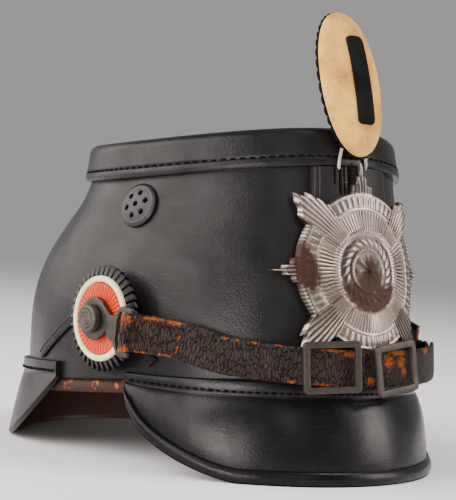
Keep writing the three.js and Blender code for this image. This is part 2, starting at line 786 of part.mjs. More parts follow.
// A frame lies on the strap's outer face, turned a little on it
function buckle(angle, turn) {
  const { front, back, side } = crownOval(angle, STRAP_FRONT_HEIGHT);
  const reach = BUCKLE_LENGTH / 2 - BUCKLE_BAR;
  const speed = Math.hypot(
    (side + frameOut) * Math.cos(radians(angle)),
    ((front + back) / 2 + frameOut) * Math.sin(radians(angle)));
  const swing = THREE.MathUtils.radToDeg(reach / speed);
  const line = strapLine(1, frameOut, STRAP_FREE_ANGLE, LUG_SLOPES.right);
  const height = (a) => lerp(
    STRAP_FRONT_HEIGHT, line.getPoint(0).z, (Math.abs(a) / STRAP_BAR_ANGLE) ** 2.5);
  const ends = [angle - swing, angle + swing].map((a) => onCrown(a, 0, frameOut).setZ(height(a)));
  const centre = ends[0].clone().add(ends[1]).multiplyScalar(0.5);
  const level = ends[0].clone().sub(ends[1]).normalize();
  const outwards = V().crossVectors(level, V(0, 0, 1)).normalize();
  const along = level.applyAxisAngle(outwards, -radians(turn));
  const across = V().crossVectors(outwards, along);
  const [x, y] = [BUCKLE_LENGTH / 2, BUCKLE_WIDTH / 2];
  const round = BUCKLE_CORNER;
  const shape = new THREE.Shape();
  shape.moveTo(-x + round, -y).lineTo(x - round, -y);
  shape.absarc(x - round, -y + round, round, -Math.PI / 2, 0, false);
  shape.absarc(x - round, y - round, round, 0, Math.PI / 2, false);
  shape.absarc(-x + round, y - round, round, Math.PI / 2, Math.PI, false);
  shape.absarc(-x + round, -y + round, round, Math.PI, 1.5 * Math.PI, false);
  const [u, v] = [x - BUCKLE_BAR, y - BUCKLE_BAR];
  const corners = [[-u, -v], [-u, v], [u, v], [u, -v]];
  shape.holes.push(new THREE.Path(corners.map((p) => new THREE.Vector2(...p))));
  return bent(shape, BUCKLE_WALL, (a, b, n) => centre.clone()
    .addScaledVector(along, a).addScaledVector(across, b).addScaledVector(outwards, n));
}

// Vents

function vent(sign) {
  const angle = sign * VENT_ANGLE;
  const { right, up, normal, point } = crownFrame(angle, lidHeight(angle) - VENT_DROP, 2 * GAP);
  const rim = 0.6;
  const hollow = VENT_RADIUS - 1.6;
  const dome = spread(4, 0, 1).map((t) => [VENT_RADIUS * t, rim + (VENT_RISE - rim) * (1 - t ** 2.2)]);
  const profile = [...dome, [VENT_RADIUS, 0], [hollow, 0], [hollow * 0.6, VENT_RISE - VENT_WALL - 0.6],
    [0, VENT_RISE - VENT_WALL]];
  let disc = solid(closed(lathed(profile, 18)));
  const places = [[0, 0], ...spread(VENT_HOLES, 15, 375).slice(0, -1).map((angle) => [
    VENT_HOLE_CIRCLE * Math.cos(radians(angle)), VENT_HOLE_CIRCLE * Math.sin(radians(angle))])];
  for (const [x, y] of places) {
    const drill = new THREE.CylinderGeometry(VENT_HOLE_RADIUS, VENT_HOLE_RADIUS, 4 * VENT_RISE, 6)
      .rotateX(Math.PI / 2).translate(x, y, 0);
    disc = disc.subtract(solid(closed(drill)));
  }
  const basis = new THREE.Matrix4().makeBasis(right, up, normal).setPosition(point);
  return closed(geometryOf(disc).applyMatrix4(basis));
}

// A place on the crown with its own directions: level, up the leather and straight out of it
function crownFrame(angle, z, out) {
  const step = 0.5;
  const right = onCrown(angle - step, z, 0).sub(onCrown(angle + step, z, 0)).normalize();
  const up = onCrown(angle, z + step, 0).sub(onCrown(angle, z - step, 0)).normalize();
  const normal = V().crossVectors(right, up).normalize();
  const point = onCrown(angle, z, 0).addScaledVector(normal, out);
  return { right, up: V().crossVectors(normal, right), normal, point };
}

// Field badge: it leans back from a foot that stands in front of the lid

const lidOut = GAP + LID_WALL + LID_STRIP_PROUD;
const badgeFoot = V(-FRONT_ASIDE, -(TOP_FRONT + lidOut + 2 * GAP), LID_FRONT_HEIGHT + BADGE_FOOT);
const badgeUp = V(0, Math.sin(radians(BADGE_LEAN)), Math.cos(radians(BADGE_LEAN)));
const badgeFace = V(0, -Math.cos(radians(BADGE_LEAN)), Math.sin(radians(BADGE_LEAN)));
const badgePlace = (x, y, out) => badgeFoot.clone()
  .add(V(x, 0, 0)).addScaledVector(badgeUp, y + BADGE_HALF_HEIGHT).addScaledVector(badgeFace, out);

function badgeOutline(angle, grow) {
  const power = 2 / 2.15;
  const cos = Math.cos(radians(angle));
  const sin = Math.sin(radians(angle));
  return [
    (BADGE_HALF_WIDTH + grow) * Math.sign(cos) * Math.abs(cos) ** power,
    (BADGE_HALF_HEIGHT + grow) * Math.sign(sin) * Math.abs(sin) ** power,
  ];
}

// How far the felt stands out at a share of the way from its middle to its edge
const feltOut = (share) => BADGE_DEPTH * (1 - Math.min(1, share) ** 2.6) ** (1 / 2.2);

function fieldBadge() {
  const shares = [0, 0.5, 0.8, 0.94, 1];
  const base = BADGE_BACK_WALL + GAP;
  const columns = spread(28, 0, 360).slice(0, -1).map((angle) => {
    const [x, y] = badgeOutline(angle, 0);
    return {
      outer: shares.map((share) => badgePlace(x * share, y * share, base + 0.6 + feltOut(share))),
      inner: shares.map((share) => badgePlace(x * share, y * share, base)),
    };
  });
  return wall(columns, true);
}

function badgeBack() {
  const points = spread(2 * BADGE_SCALLOPS, 0, 360).slice(0, -1)
    .map((angle, i) => badgeOutline(angle, i % 2 ? -0.4 : 0.7));
  return bent(outline(points), BADGE_BACK_WALL, badgePlace);
}

function badgeBar() {
  const h = BAR_HALF_HEIGHT;
  const ends = [0, 0.3, 1].map((share) => h - share * BAR_CORNER);
  const rows = [...ends.map((y) => -y), ...spread(8, -0.75 * h, 0.75 * h), ...ends.reverse()];
  const columns = rows.map((along) => {
    const y = along - BAR_DROP;
    const end = Math.max(0, Math.abs(along) - (h - BAR_CORNER)) / BAR_CORNER;
    const half = BAR_HALF_WIDTH - BAR_CORNER * (1 - Math.sqrt(Math.max(0.06, 1 - end ** 2)));
    const base = BADGE_BACK_WALL + 2 * GAP + 0.6;
    const place = (x, out) => badgePlace(
      x, y, base + feltOut(Math.hypot(x / BADGE_HALF_WIDTH, y / BADGE_HALF_HEIGHT)) + out);
    return {
      outer: [place(-half, BAR_WALL), place(0, BAR_WALL + 0.2), place(half, BAR_WALL)],
      inner: [place(-half, 0.2), place(0, 0.2), place(half, 0.2)],
    };
  });
  return wall(columns, false);
}

function badgePin(x) {
  const radius = PIN_DIAMETER / 2;
  const angle = THREE.MathUtils.radToDeg(Math.asin(x / TOP_SIDE));
  const lid = lidHeight(angle);
  const overLid = (z) => onOval(
    { front: TOP_FRONT, back: TOP_BACK, side: TOP_SIDE }, angle, z, lidOut + GAP + radius);
  const behindPocket = (z) => onCrown(angle, z, 1.5 * GAP + radius);
  const edge = Math.sqrt(1 - ((Math.abs(x - FRONT_ASIDE) - radius) / BADGE_HALF_WIDTH) ** 2);
  const top = badgePlace(FRONT_ASIDE - x, -BADGE_HALF_HEIGHT * edge - 4 * GAP, BADGE_BACK_WALL / 2);
  const line = new THREE.CatmullRomCurve3([
    top,
    overLid(lid + 1.2),
    overLid(lid - 0.8),
    behindPocket(lid - POCKET_DROP),
    behindPocket(lid - PIN_REACH),
  ], false, 'centripetal');
  const round = new THREE.Shape();
  round.absarc(0, 0, radius, 0, 2 * Math.PI, false);
  return closed(new THREE.ExtrudeGeometry(round, { extrudePath: line, steps: 10, curveSegments: 3 }));
}

// Assembly

const materials = {
  leather: new THREE.MeshStandardMaterial({ color: 0x1d1c1e, roughness: 0.45, metalness: 0 }),
  browned: new THREE.MeshStandardMaterial({ color: 0x4a2c1c, roughness: 0.7, metalness: 0 }),
  silver: new THREE.MeshStandardMaterial({ color: 0xb9b2aa, roughness: 0.35, metalness: 0.9 }),
  iron: new THREE.MeshStandardMaterial({ color: 0x5b5853, roughness: 0.5, metalness: 0.8 }),
  cream: new THREE.MeshStandardMaterial({ color: 0xf0e6cd, roughness: 0.5, metalness: 0 }),
  orange: new THREE.MeshStandardMaterial({ color: 0xd9542e, roughness: 0.55, metalness: 0 }),
  black: new THREE.MeshStandardMaterial({ color: 0x1a1a1b, roughness: 0.7, metalness: 0 }),
  felt: new THREE.MeshStandardMaterial({ color: 0xc39f6e, roughness: 1, metalness: 0 }),
};

const hat = new THREE.Group();

function add(name, geometry, material) {
  const mesh = new THREE.Mesh(geometry, materials[material]);
  mesh.name = name;
  hat.add(mesh);
}

add('body_shell', bodyShell(), 'leather');
add('top_lid', topLid(), 'leather');
add('front_peak', frontPeak(), 'leather');
add('neck_guard', neckGuard(), 'leather');
add('sweatband', sweatband(), 'browned');
add('badge_pocket', badgePocket(), 'leather');
add('front_star', frontStar(), 'silver');

for (const [side, sign] of [['right', 1], ['left', -1]]) {
  add(`side_welt_${side}`, sideWelt(sign), 'leather');
  add(`cockade_rim_${side}`, sideways(cockadeRim(), sign), 'black');
  add(`cockade_ring_${side}`, sideways(cockadeRing(), sign), 'cream');
  add(`cockade_disc_${side}`, sideways(cockadeDisc(), sign), 'orange');
  add(`side_post_${side}`, sideways(sidePost(), sign), 'iron');
  add(`strap_lug_${side}`, sideways(strapLug(LUG_SLOPES[side]), sign), 'iron');
  add(`vent_${side}`, vent(sign), 'leather');
  add(`buckle_${side}`, buckle(BUCKLE_ANGLES[side], BUCKLE_TURNS[side]), 'iron');
  add(`badge_pin_${side}`, badgePin(PIN_PLACES[side]), 'silver');
}

add('chin_strap_right', chinStrap(1, strapOver, STRAP_FREE_ANGLE, LUG_SLOPES.right), 'browned');
add('chin_strap_left', chinStrap(-1, strapUnder, -STRAP_UNDER_ANGLE, LUG_SLOPES.left), 'browned');
add('field_badge', fieldBadge(), 'felt');
add('field_badge_back', badgeBack(), 'black');
add('field_badge_bar', badgeBar(), 'black');

// At rest the hat leans back, with the edges of its peak and guard on the ground
hat.rotation.x = -Math.atan(floorSlope);
hat.updateMatrixWorld(true);
const extent = new THREE.Box3().setFromObject(hat, true);
const middle = extent.getCenter(V());
hat.position.set(-middle.x, -middle.y, -extent.min.z);

export default hat;
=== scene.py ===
import math
import random

import bmesh
import bpy
import numpy as np
from mathutils import Matrix, Vector


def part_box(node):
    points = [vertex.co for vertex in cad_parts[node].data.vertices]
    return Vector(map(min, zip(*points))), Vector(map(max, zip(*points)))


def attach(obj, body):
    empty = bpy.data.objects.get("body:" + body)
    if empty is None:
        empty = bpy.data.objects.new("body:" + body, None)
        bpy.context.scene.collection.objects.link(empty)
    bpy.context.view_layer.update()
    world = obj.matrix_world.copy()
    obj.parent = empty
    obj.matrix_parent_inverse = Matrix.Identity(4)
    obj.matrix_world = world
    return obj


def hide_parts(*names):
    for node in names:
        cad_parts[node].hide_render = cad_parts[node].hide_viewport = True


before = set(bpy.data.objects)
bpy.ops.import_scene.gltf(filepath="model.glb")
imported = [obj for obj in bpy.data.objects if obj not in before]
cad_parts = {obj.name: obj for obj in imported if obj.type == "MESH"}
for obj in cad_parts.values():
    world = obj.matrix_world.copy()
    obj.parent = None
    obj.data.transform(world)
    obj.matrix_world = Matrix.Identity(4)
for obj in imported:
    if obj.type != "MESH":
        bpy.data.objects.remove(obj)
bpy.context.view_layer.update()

# Camera
# The hat is seen from the wearer's right and the front, from just above its rim. The hat's own level
# frame is in millimetres, with the rim at height 0, and leans back on its peak and neck guard.
PEAK_DROP, PEAK_FLARE = 47.7, 10.6
GUARD_DROP, GUARD_FLARE = 25.7, 10.5
RIM_FRONT, RIM_BACK, RIM_SIDE = 105.0, 107.0, 86.5
GROUND_SLOPE = (PEAK_DROP - GUARD_DROP) / (RIM_BACK + GUARD_FLARE + RIM_FRONT + PEAK_FLARE)
LEAN = math.atan(GROUND_SLOPE)
COCKADE_FORWARD, COCKADE_HEIGHT = 24.3, 27.8
axle = sum(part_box("cockade_ring_right"), Vector()) * 500
RIM_PLACE_BACK = axle.y + COCKADE_FORWARD * math.cos(LEAN) - COCKADE_HEIGHT * math.sin(LEAN)
RIM_PLACE_UP = axle.z - COCKADE_FORWARD * math.sin(LEAN) - COCKADE_HEIGHT * math.cos(LEAN)


def stand(points):
    """Takes points of the hat's level frame, in millimetres, to where the hat stands, in metres."""
    p = np.asarray(points, float)
    x, y, z = p[..., 0], p[..., 1], p[..., 2]
    back = y * math.cos(LEAN) + z * math.sin(LEAN) + RIM_PLACE_BACK
    up = z * math.cos(LEAN) - y * math.sin(LEAN) + RIM_PLACE_UP
    return np.stack([x, back, up], axis=-1) / 1000


def level_points(made):
    """The points of a finished piece, taken back to the hat's level frame."""
    p = np.array([v.co for v in made.data.vertices]) * 1000 - [0, RIM_PLACE_BACK, RIM_PLACE_UP]
    x, back, up = p.T
    return np.stack([x, back * math.cos(LEAN) - up * math.sin(LEAN),
                     up * math.cos(LEAN) + back * math.sin(LEAN)], axis=-1)


PHOTO_WIDTH, PHOTO_HEIGHT = 456, 500
FOCAL_PX, SENSOR_MM = 1576, 36
EYE_AZIMUTH, EYE_DISTANCE, EYE_HEIGHT = 41.0, 800.0, 17.0
AXIS_X_PX, AXIS_Y_PX = 216, 342

away = np.array([-math.sin(math.radians(EYE_AZIMUTH)), -math.cos(math.radians(EYE_AZIMUTH)), 0])
aside = np.array([-away[1], away[0], 0])
eye = EYE_DISTANCE * away + np.array([0, 0, EYE_HEIGHT])
aim = (-away
       + aside * (PHOTO_WIDTH / 2 - AXIS_X_PX) / FOCAL_PX
       + np.array([0, 0, 1]) * (AXIS_Y_PX - PHOTO_HEIGHT / 2) / FOCAL_PX)
eye_point, aim_point, top_point = (Vector(p) for p in stand([eye, eye + aim * 100, eye + [0, 0, 100]]))
back_axis = (eye_point - aim_point).normalized()
right_axis = (top_point - eye_point).cross(back_axis).normalized()
up_axis = back_axis.cross(right_axis)

camera = bpy.data.objects.new("camera", bpy.data.cameras.new("camera"))
bpy.context.scene.collection.objects.link(camera)
camera.matrix_world = Matrix((
    (right_axis.x, up_axis.x, back_axis.x, eye_point.x),
    (right_axis.y, up_axis.y, back_axis.y, eye_point.y),
    (right_axis.z, up_axis.z, back_axis.z, eye_point.z),
    (0, 0, 0, 1)))
camera.data.sensor_width = SENSOR_MM
camera.data.lens = SENSOR_MM * FOCAL_PX / PHOTO_HEIGHT
camera.data.clip_start = 0.01
bpy.context.scene.camera = camera

# Floor and light
# A pale floor in a dim white room. One wide soft light stands on the wearer's right, where the leather
# mirrors it, a second one behind draws the crown's edge, and four small ones fill the front, the left,
# the top and the space under the rim.


def fill(tree, socket, value):
    if isinstance(value, bpy.types.NodeSocket):
        tree.links.new(value, socket)
    else:
        socket.default_value = value


def add_node(tree, kind, inputs=(), **settings):
    """Adds a node. Each input is given as a constant, or as the socket that feeds it."""
    made = tree.nodes.new(kind)
    for key, value in settings.items():
        setattr(made, key, value)
    for key, value in dict(inputs).items():
        fill(tree, made.inputs[key], value)
    return made


class Finish:
    """A material under way. Most calls add one node and give back the socket that the next call reads."""

    def __init__(self, name):
        self.material = bpy.data.materials.new(name)
        self.material.use_nodes = True
        self.tree = self.material.node_tree

    def lay(self, **finishes):
        """Sets the shader's own inputs, named in lower case, and gives back the material."""
        shader = self.tree.nodes["Principled BSDF"]
        names = {socket.name.lower().replace(" ", "_"): socket for socket in shader.inputs}
        for key, value in finishes.items():
            fill(self.tree, names[key], value)
        return self.material

    def coordinates(self, kind="Object"):
        return add_node(self.tree, "ShaderNodeTexCoord").outputs[kind]

    def drawn(self, place, scale, turn=(0, 0, 0)):
        """The place drawn out or squeezed, for a pattern that runs one way."""
        return add_node(self.tree, "ShaderNodeMapping",
                        {"Vector": place, "Scale": scale, "Rotation": turn}).outputs["Vector"]

    def mark(self, name):
        return add_node(self.tree, "ShaderNodeAttribute", attribute_name=name).outputs["Fac"]

    def noise(self, place, scale, detail, roughness=0.5, distortion=0.0, kind="Fac"):
        return add_node(self.tree, "ShaderNodeTexNoise", {
            "Vector": place, "Scale": scale, "Detail": detail, "Roughness": roughness,
            "Distortion": distortion}).outputs[kind]

    def cells(self, place, scale, feature="F1"):
        return add_node(self.tree, "ShaderNodeTexVoronoi", {"Vector": place, "Scale": scale},
                        feature=feature).outputs["Distance"]

    def add(self, first, second):
        return add_node(self.tree, "ShaderNodeMath", {0: first, 1: second}, operation="ADD").outputs["Value"]

    def blend(self, share, first, second):
        return add_node(self.tree, "ShaderNodeMix", {"Factor": share, "A": first, "B": second},
                        data_type="RGBA").outputs["Result"]

    def spread(self, value, start, end, low=0.0, high=1.0):
        """Takes the value's range from low to high to the one from start to end."""
        return add_node(self.tree, "ShaderNodeMapRange", {
            "Value": value, "From Min": low, "From Max": high, "To Min": start,
            "To Max": end}).outputs["Result"]

    def bump(self, height, strength, depth, under=None):
        """Relief of a depth in metres, over the relief under it."""
        inputs = {"Height": height, "Strength": strength, "Distance": depth}
        if under:
            inputs["Normal"] = under
        return add_node(self.tree, "ShaderNodeBump", inputs).outputs["Normal"]


bpy.ops.mesh.primitive_plane_add(size=6, location=(0, 0, 0))
floor = bpy.context.object
floor.name = "floor"
floor.data.materials.append(Finish("pale_floor").lay(base_color=(0.86, 0.86, 0.86, 1), roughness=0.8))

world = bpy.data.worlds.new("white_room")
world.use_nodes = True
background = world.node_tree.nodes["Background"]
background.inputs["Color"].default_value = (1.0, 0.995, 0.985, 1)
background.inputs["Strength"].default_value = 0.35
bpy.context.scene.world = world

WARM_WHITE = (1.0, 0.95, 0.92)
HAT_CENTRE = (0, 0, 0.1)


def soft_light(name, width, height, power, place, target=HAT_CENTRE):
    light = bpy.data.lights.new(name, "AREA")
    light.shape = "RECTANGLE"
    light.size, light.size_y, light.energy = width, height, power
    light.color = WARM_WHITE
    lamp = bpy.data.objects.new(name, light)
    bpy.context.scene.collection.objects.link(lamp)
    lamp.location = place
    lamp.visible_camera = False
    lamp.rotation_euler = (Vector(target) - Vector(place)).to_track_quat("-Z", "Y").to_euler()


soft_light("light_left", 2.0, 1.4, 56, (-1.25, 0.3, 0.8))
soft_light("light_back", 1.2, 1.0, 11, (-0.6, 1.35, 0.6))
soft_light("light_front", 0.25, 0.6, 1.5, (-0.45, -1.3, 0.65))
soft_light("light_right", 0.6, 0.8, 11, (0.85, -0.98, 0.45))
soft_light("light_above", 0.6, 0.5, 11, (0.5, -0.5, 1.2))
soft_light("light_low", 0.3, 0.12, 3, (-0.62, -0.42, 0.07), (0.02, 0.06, 0.03))

# Crown
# A shell of thick black leather, blocked on a form: oval and upright at the rim, then drawn in towards
# the lid, most of all at the back.
TOP_FRONT, TOP_BACK, TOP_SIDE = 98.6, 61.5, 70.3
LID_FRONT_HEIGHT, LID_SIDE_HEIGHT, LID_BACK_HEIGHT = 97.5, 94.0, 101.5
LID_DEPTH, LID_WALL, GAP = 18.0, 2.2, 0.3
BODY_WALL = 2.0
# Each row: share of the height, and how far the oval has gone from the rim's to the top's size there,
# at the front, the back and the sides
CROWN_LEVELS = np.array([
    (0.0, 0.0, 0.0, 0.0),
    (0.2, 0.0, 0.02, 0.0),
    (0.38, 0.1, 0.05, 0.07),
    (0.52, 0.26, 0.14, 0.2),
    (0.65, 0.45, 0.32, 0.38),
    (0.78, 0.68, 0.59, 0.62),
    (0.9, 0.88, 0.86, 0.86),
    (1.0, 1.0, 1.0, 1.0),
])
level_slopes = np.gradient(CROWN_LEVELS[:, 1:], CROWN_LEVELS[:, 0], axis=0)


def lid_height(angle):
    ends = (LID_FRONT_HEIGHT + LID_BACK_HEIGHT) / 2
    a = np.radians(angle)
    return ((ends + LID_SIDE_HEIGHT) / 2
            + (LID_FRONT_HEIGHT - LID_BACK_HEIGHT) / 2 * np.cos(a)
            + (ends - LID_SIDE_HEIGHT) / 2 * np.cos(2 * a))


def crown_oval(angle, z):
    share = np.clip(z / lid_height(angle), 0, 1)
    i = np.clip(np.searchsorted(CROWN_LEVELS[:, 0], share) - 1, 0, len(CROWN_LEVELS) - 2)
    start, end = CROWN_LEVELS[i, 0], CROWN_LEVELS[i + 1, 0]
    width = (end - start)[..., None]
    t = ((share - start) / (end - start))[..., None]
    low, high = CROWN_LEVELS[i, 1:], CROWN_LEVELS[i + 1, 1:]
    v = ((2 * t ** 3 - 3 * t ** 2 + 1) * low + (t ** 3 - 2 * t ** 2 + t) * width * level_slopes[i]
         + (3 * t ** 2 - 2 * t ** 3) * high + (t ** 3 - t ** 2) * width * level_slopes[i + 1])
    return (RIM_FRONT + (TOP_FRONT - RIM_FRONT) * v[..., 0],
            RIM_BACK + (TOP_BACK - RIM_BACK) * v[..., 1],
            RIM_SIDE + (TOP_SIDE - RIM_SIDE) * v[..., 2])


def on_oval(oval, angle, z, out):
    front, back, side = oval
    sin, cos = np.sin(np.radians(angle)), np.cos(np.radians(angle))
    half = (front + back) / 2
    nx, ny = -sin / side, -cos / half
    length = np.hypot(nx, ny)
    x = -side * sin + nx / length * out
    y = (back - front) / 2 - half * cos + ny / length * out
    return np.stack(np.broadcast_arrays(x, y, z), axis=-1)


def on_crown(angle, z, out):
    """A point of the crown: angle 0 is the front, growing to the wearer's right, out is off the leather."""
    angle, z, out = np.broadcast_arrays(*(np.asarray(given, float) for given in (angle, z, out)))
    return on_oval(crown_oval(angle, z), angle, z, out)


def piece(name, mesh, sharp, material, replaced=()):
    """Links a mesh as a finished piece of the hat: doubles joined, faces outwards, softly shaded."""
    work = bmesh.new()
    work.from_mesh(mesh)
    bmesh.ops.remove_doubles(work, verts=work.verts, dist=2e-6)
    bmesh.ops.dissolve_degenerate(work, edges=work.edges, dist=1e-7)
    bmesh.ops.recalc_face_normals(work, faces=work.faces)
    work.to_mesh(mesh)
    work.free()
    mesh.polygons.foreach_set("use_smooth", [True] * len(mesh.polygons))
    mesh.set_sharp_from_angle(angle=math.radians(sharp))
    mesh.materials.append(material)
    made = bpy.data.objects.new(name, mesh)
    bpy.context.scene.collection.objects.link(made)
    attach(made, "root")
    if replaced:
        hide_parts(*replaced)
    return made


def sew(name, grid, material, replaced=(), round_it=True, sharp=35):
    """A closed leather, metal or felt piece. grid is columns of closed loops of points in the hat's frame.

    The UV map holds millimetres: along the columns and round each loop."""
    grid = np.asarray(grid, float)
    columns, rows = grid.shape[:2]
    steps = np.linalg.norm(np.diff(grid, axis=0), axis=2).mean(axis=1)
    turns = np.linalg.norm(np.roll(grid, -1, axis=1) - grid, axis=2).mean(axis=0)
    along, across = (np.concatenate([[0], np.cumsum(lengths)]) for lengths in (steps, turns))
    if round_it:
        along = np.append(along, along[-1] + np.linalg.norm(grid[0] - grid[-1], axis=1).mean())
    faces, corners = [], []
    for i in range(columns if round_it else columns - 1):
        j = (i + 1) % columns
        for k in range(rows):
            m = (k + 1) % rows
            faces.append((i * rows + k, j * rows + k, j * rows + m, i * rows + m))
            corners += [(along[i], across[k]), (along[i + 1], across[k]),
                        (along[i + 1], across[k + 1]), (along[i], across[k + 1])]
    for i in () if round_it else (0, columns - 1):
        for k in range(rows // 2 - 1):
            face = [i * rows + k, i * rows + k + 1, i * rows + rows - 2 - k, i * rows + rows - 1 - k]
            faces.append(tuple(face if i == 0 else face[::-1]))
            corners += [(along[i], across[k])] * 4
    mesh = bpy.data.meshes.new(name)
    mesh.from_pydata(stand(grid).reshape(-1, 3).tolist(), [], faces)
    mesh.uv_layers.new(name="UVMap").data.foreach_set("uv", np.array(corners).ravel())
    return piece(name, mesh, sharp, material, replaced)


def keep_marks(made, name, values, domain="POINT"):
    """Keeps one number for each point or face of a piece, for its material to read."""
    made.data.attributes.new(name, "FLOAT", domain).data.foreach_set("value", values)


def leather(name, dark, light, gloss, grain_size, grain_depth, scratches=0.0, dented=0.12, inner=None,
            split=False):
    """Dyed leather: mottled, with a pebbled grain, soft dents, smears in its shine and a few scratches.

    inner is the colour of a bare inner face, and split leather is dull where it is marked as open."""
    finish = Finish(name)
    place = finish.coordinates()
    mottle = finish.noise(place, 38, 6, 0.65)
    colour = finish.blend(mottle, dark, light)
    if scratches:
        lines = finish.noise(finish.drawn(place, (90, 90, 1500), (0.9, 0.5, 0)), 1, 4)
        colour = finish.blend(finish.spread(lines, 0, scratches, 0.66, 0.76), colour, (0.10, 0.095, 0.09, 1))
    if inner:
        colour = finish.blend(finish.mark("inner_face"), colour, inner)
    fine = finish.bump(finish.cells(place, grain_size), grain_depth, 0.0004)
    pored = finish.bump(finish.noise(place, grain_size * 1.7, 3), grain_depth * 0.6, 0.0003, fine)
    soft = finish.bump(finish.noise(place, 55, 3), dented, 0.002, pored)
    if split:
        shine = finish.spread(finish.mark("split"), 0.2, 0.0)
    else:
        shine = finish.spread(finish.noise(place, 16, 7, 0.65, 0.6), 0.12, 0.28, 0.35, 0.65)
    return finish.lay(base_color=colour, roughness=finish.spread(mottle, gloss - 0.06, gloss + 0.1, 0.3, 0.7),
                      specular_ior_level=shine, normal=soft)


crown_leather = leather("crown_leather", (0.0032, 0.0028, 0.003, 1), (0.0085, 0.0075, 0.0078, 1), 0.34, 1000,
                        0.16, 0.3)
crown_angles = np.linspace(0, 360, 241)[:-1]
crown_columns = []
for angle in crown_angles:
    top = lid_height(angle) + LID_DEPTH - LID_WALL - GAP
    heights = np.concatenate([[0.0, 0.15, 0.5], np.linspace(1.2, top, 56)])
    rim_rounding = np.array([-0.55, -0.15, 0.0] + [0.0] * 56)
    outer, inner = on_crown(angle, heights, rim_rounding), on_crown(angle, heights, -BODY_WALL)
    crown_columns.append(np.concatenate([outer, inner[::-1]]))
sew("crown", crown_columns, crown_leather, ["body_shell"])

# Lid
# A flat leather top with a turned-down band that grips the crown. Its edge is rounded, and a narrow
# strip is sewn round the foot of the band.
LID_CORNER, LID_CROWN, LID_TAPER, LID_STRIP_PROUD = 5.0, 1.5, 1.2, 0.6
LID_GROOVE_HEIGHT, LID_GROOVE_DEPTH = 4.45, 0.35
lid_leather = leather("lid_leather", (0.0028, 0.0025, 0.0028, 1), (0.0075, 0.0068, 0.007, 1), 0.33, 1000, 0.2,
                      0.15)
lid_oval = (TOP_FRONT, TOP_BACK, TOP_SIDE)
lid_middle = np.mean([lid_height(a) for a in (0, 90, 180, 270)])
lid_centre = np.array([0, (TOP_BACK - TOP_FRONT) / 2, 0])
inside, outside = GAP, GAP + LID_WALL
shoulder, corner = outside - LID_TAPER, LID_DEPTH - LID_CORNER
band_foot = LID_GROOVE_HEIGHT + 0.75
# Each row: share of the way out from the middle, how far out from the crown, and height over its edge
lid_outer = (
    [(share, shoulder - LID_CORNER, LID_DEPTH + LID_CROWN * (1 - share ** 2))
     for share in np.linspace(0, 1, 26)]
    + [(1, shoulder - LID_CORNER + LID_CORNER * math.cos(a), corner + LID_CORNER * math.sin(a))
       for a in np.radians(np.linspace(90, 0, 9))[1:]]
    + [(1, shoulder + LID_TAPER * t, corner - (corner - band_foot) * t) for t in np.linspace(0.08, 1, 12)]
    + [(1, outside - LID_GROOVE_DEPTH, LID_GROOVE_HEIGHT + 0.25),
       (1, outside - LID_GROOVE_DEPTH, LID_GROOVE_HEIGHT - 0.25), (1, outside + 0.25, 3.95),
       (1, outside + LID_STRIP_PROUD, 3.5), (1, outside + LID_STRIP_PROUD + 0.05, 2.0),
       (1, outside + LID_STRIP_PROUD, 0.5), (1, outside + 0.3, 0.0)])
lid_inner = ([(share, inside - LID_TAPER, LID_DEPTH - LID_WALL)
              for share in np.linspace(0, 1, len(lid_outer) - 12)]
             + [(1, inside, (LID_DEPTH - LID_WALL) * (1 - t)) for t in np.linspace(0, 1, 12)])


def lid_points(angle, rows):
    share, out, z = np.array(rows).T
    edge = on_oval(lid_oval, angle, 0.0 * z, out)
    p = lid_centre + (edge - lid_centre) * share[:, None]
    p[:, 2] = z + lid_middle + (lid_height(angle) - lid_middle) * share
    return p


lid_columns = [np.concatenate([lid_points(a, lid_outer), lid_points(a, lid_inner)[::-1]])
               for a in crown_angles]
sew("lid", lid_columns, lid_leather, ["top_lid"], sharp=50)


def thread(name, colour):
    """Waxed thread, dull, with a fine twist."""
    finish = Finish(name)
    paler = tuple(c * 2.2 for c in colour[:3]) + (1,)
    twist = finish.noise(finish.coordinates(), 1500, 2)
    return finish.lay(base_color=finish.blend(twist, colour, paler), roughness=0.9, specular_ior_level=0.08)


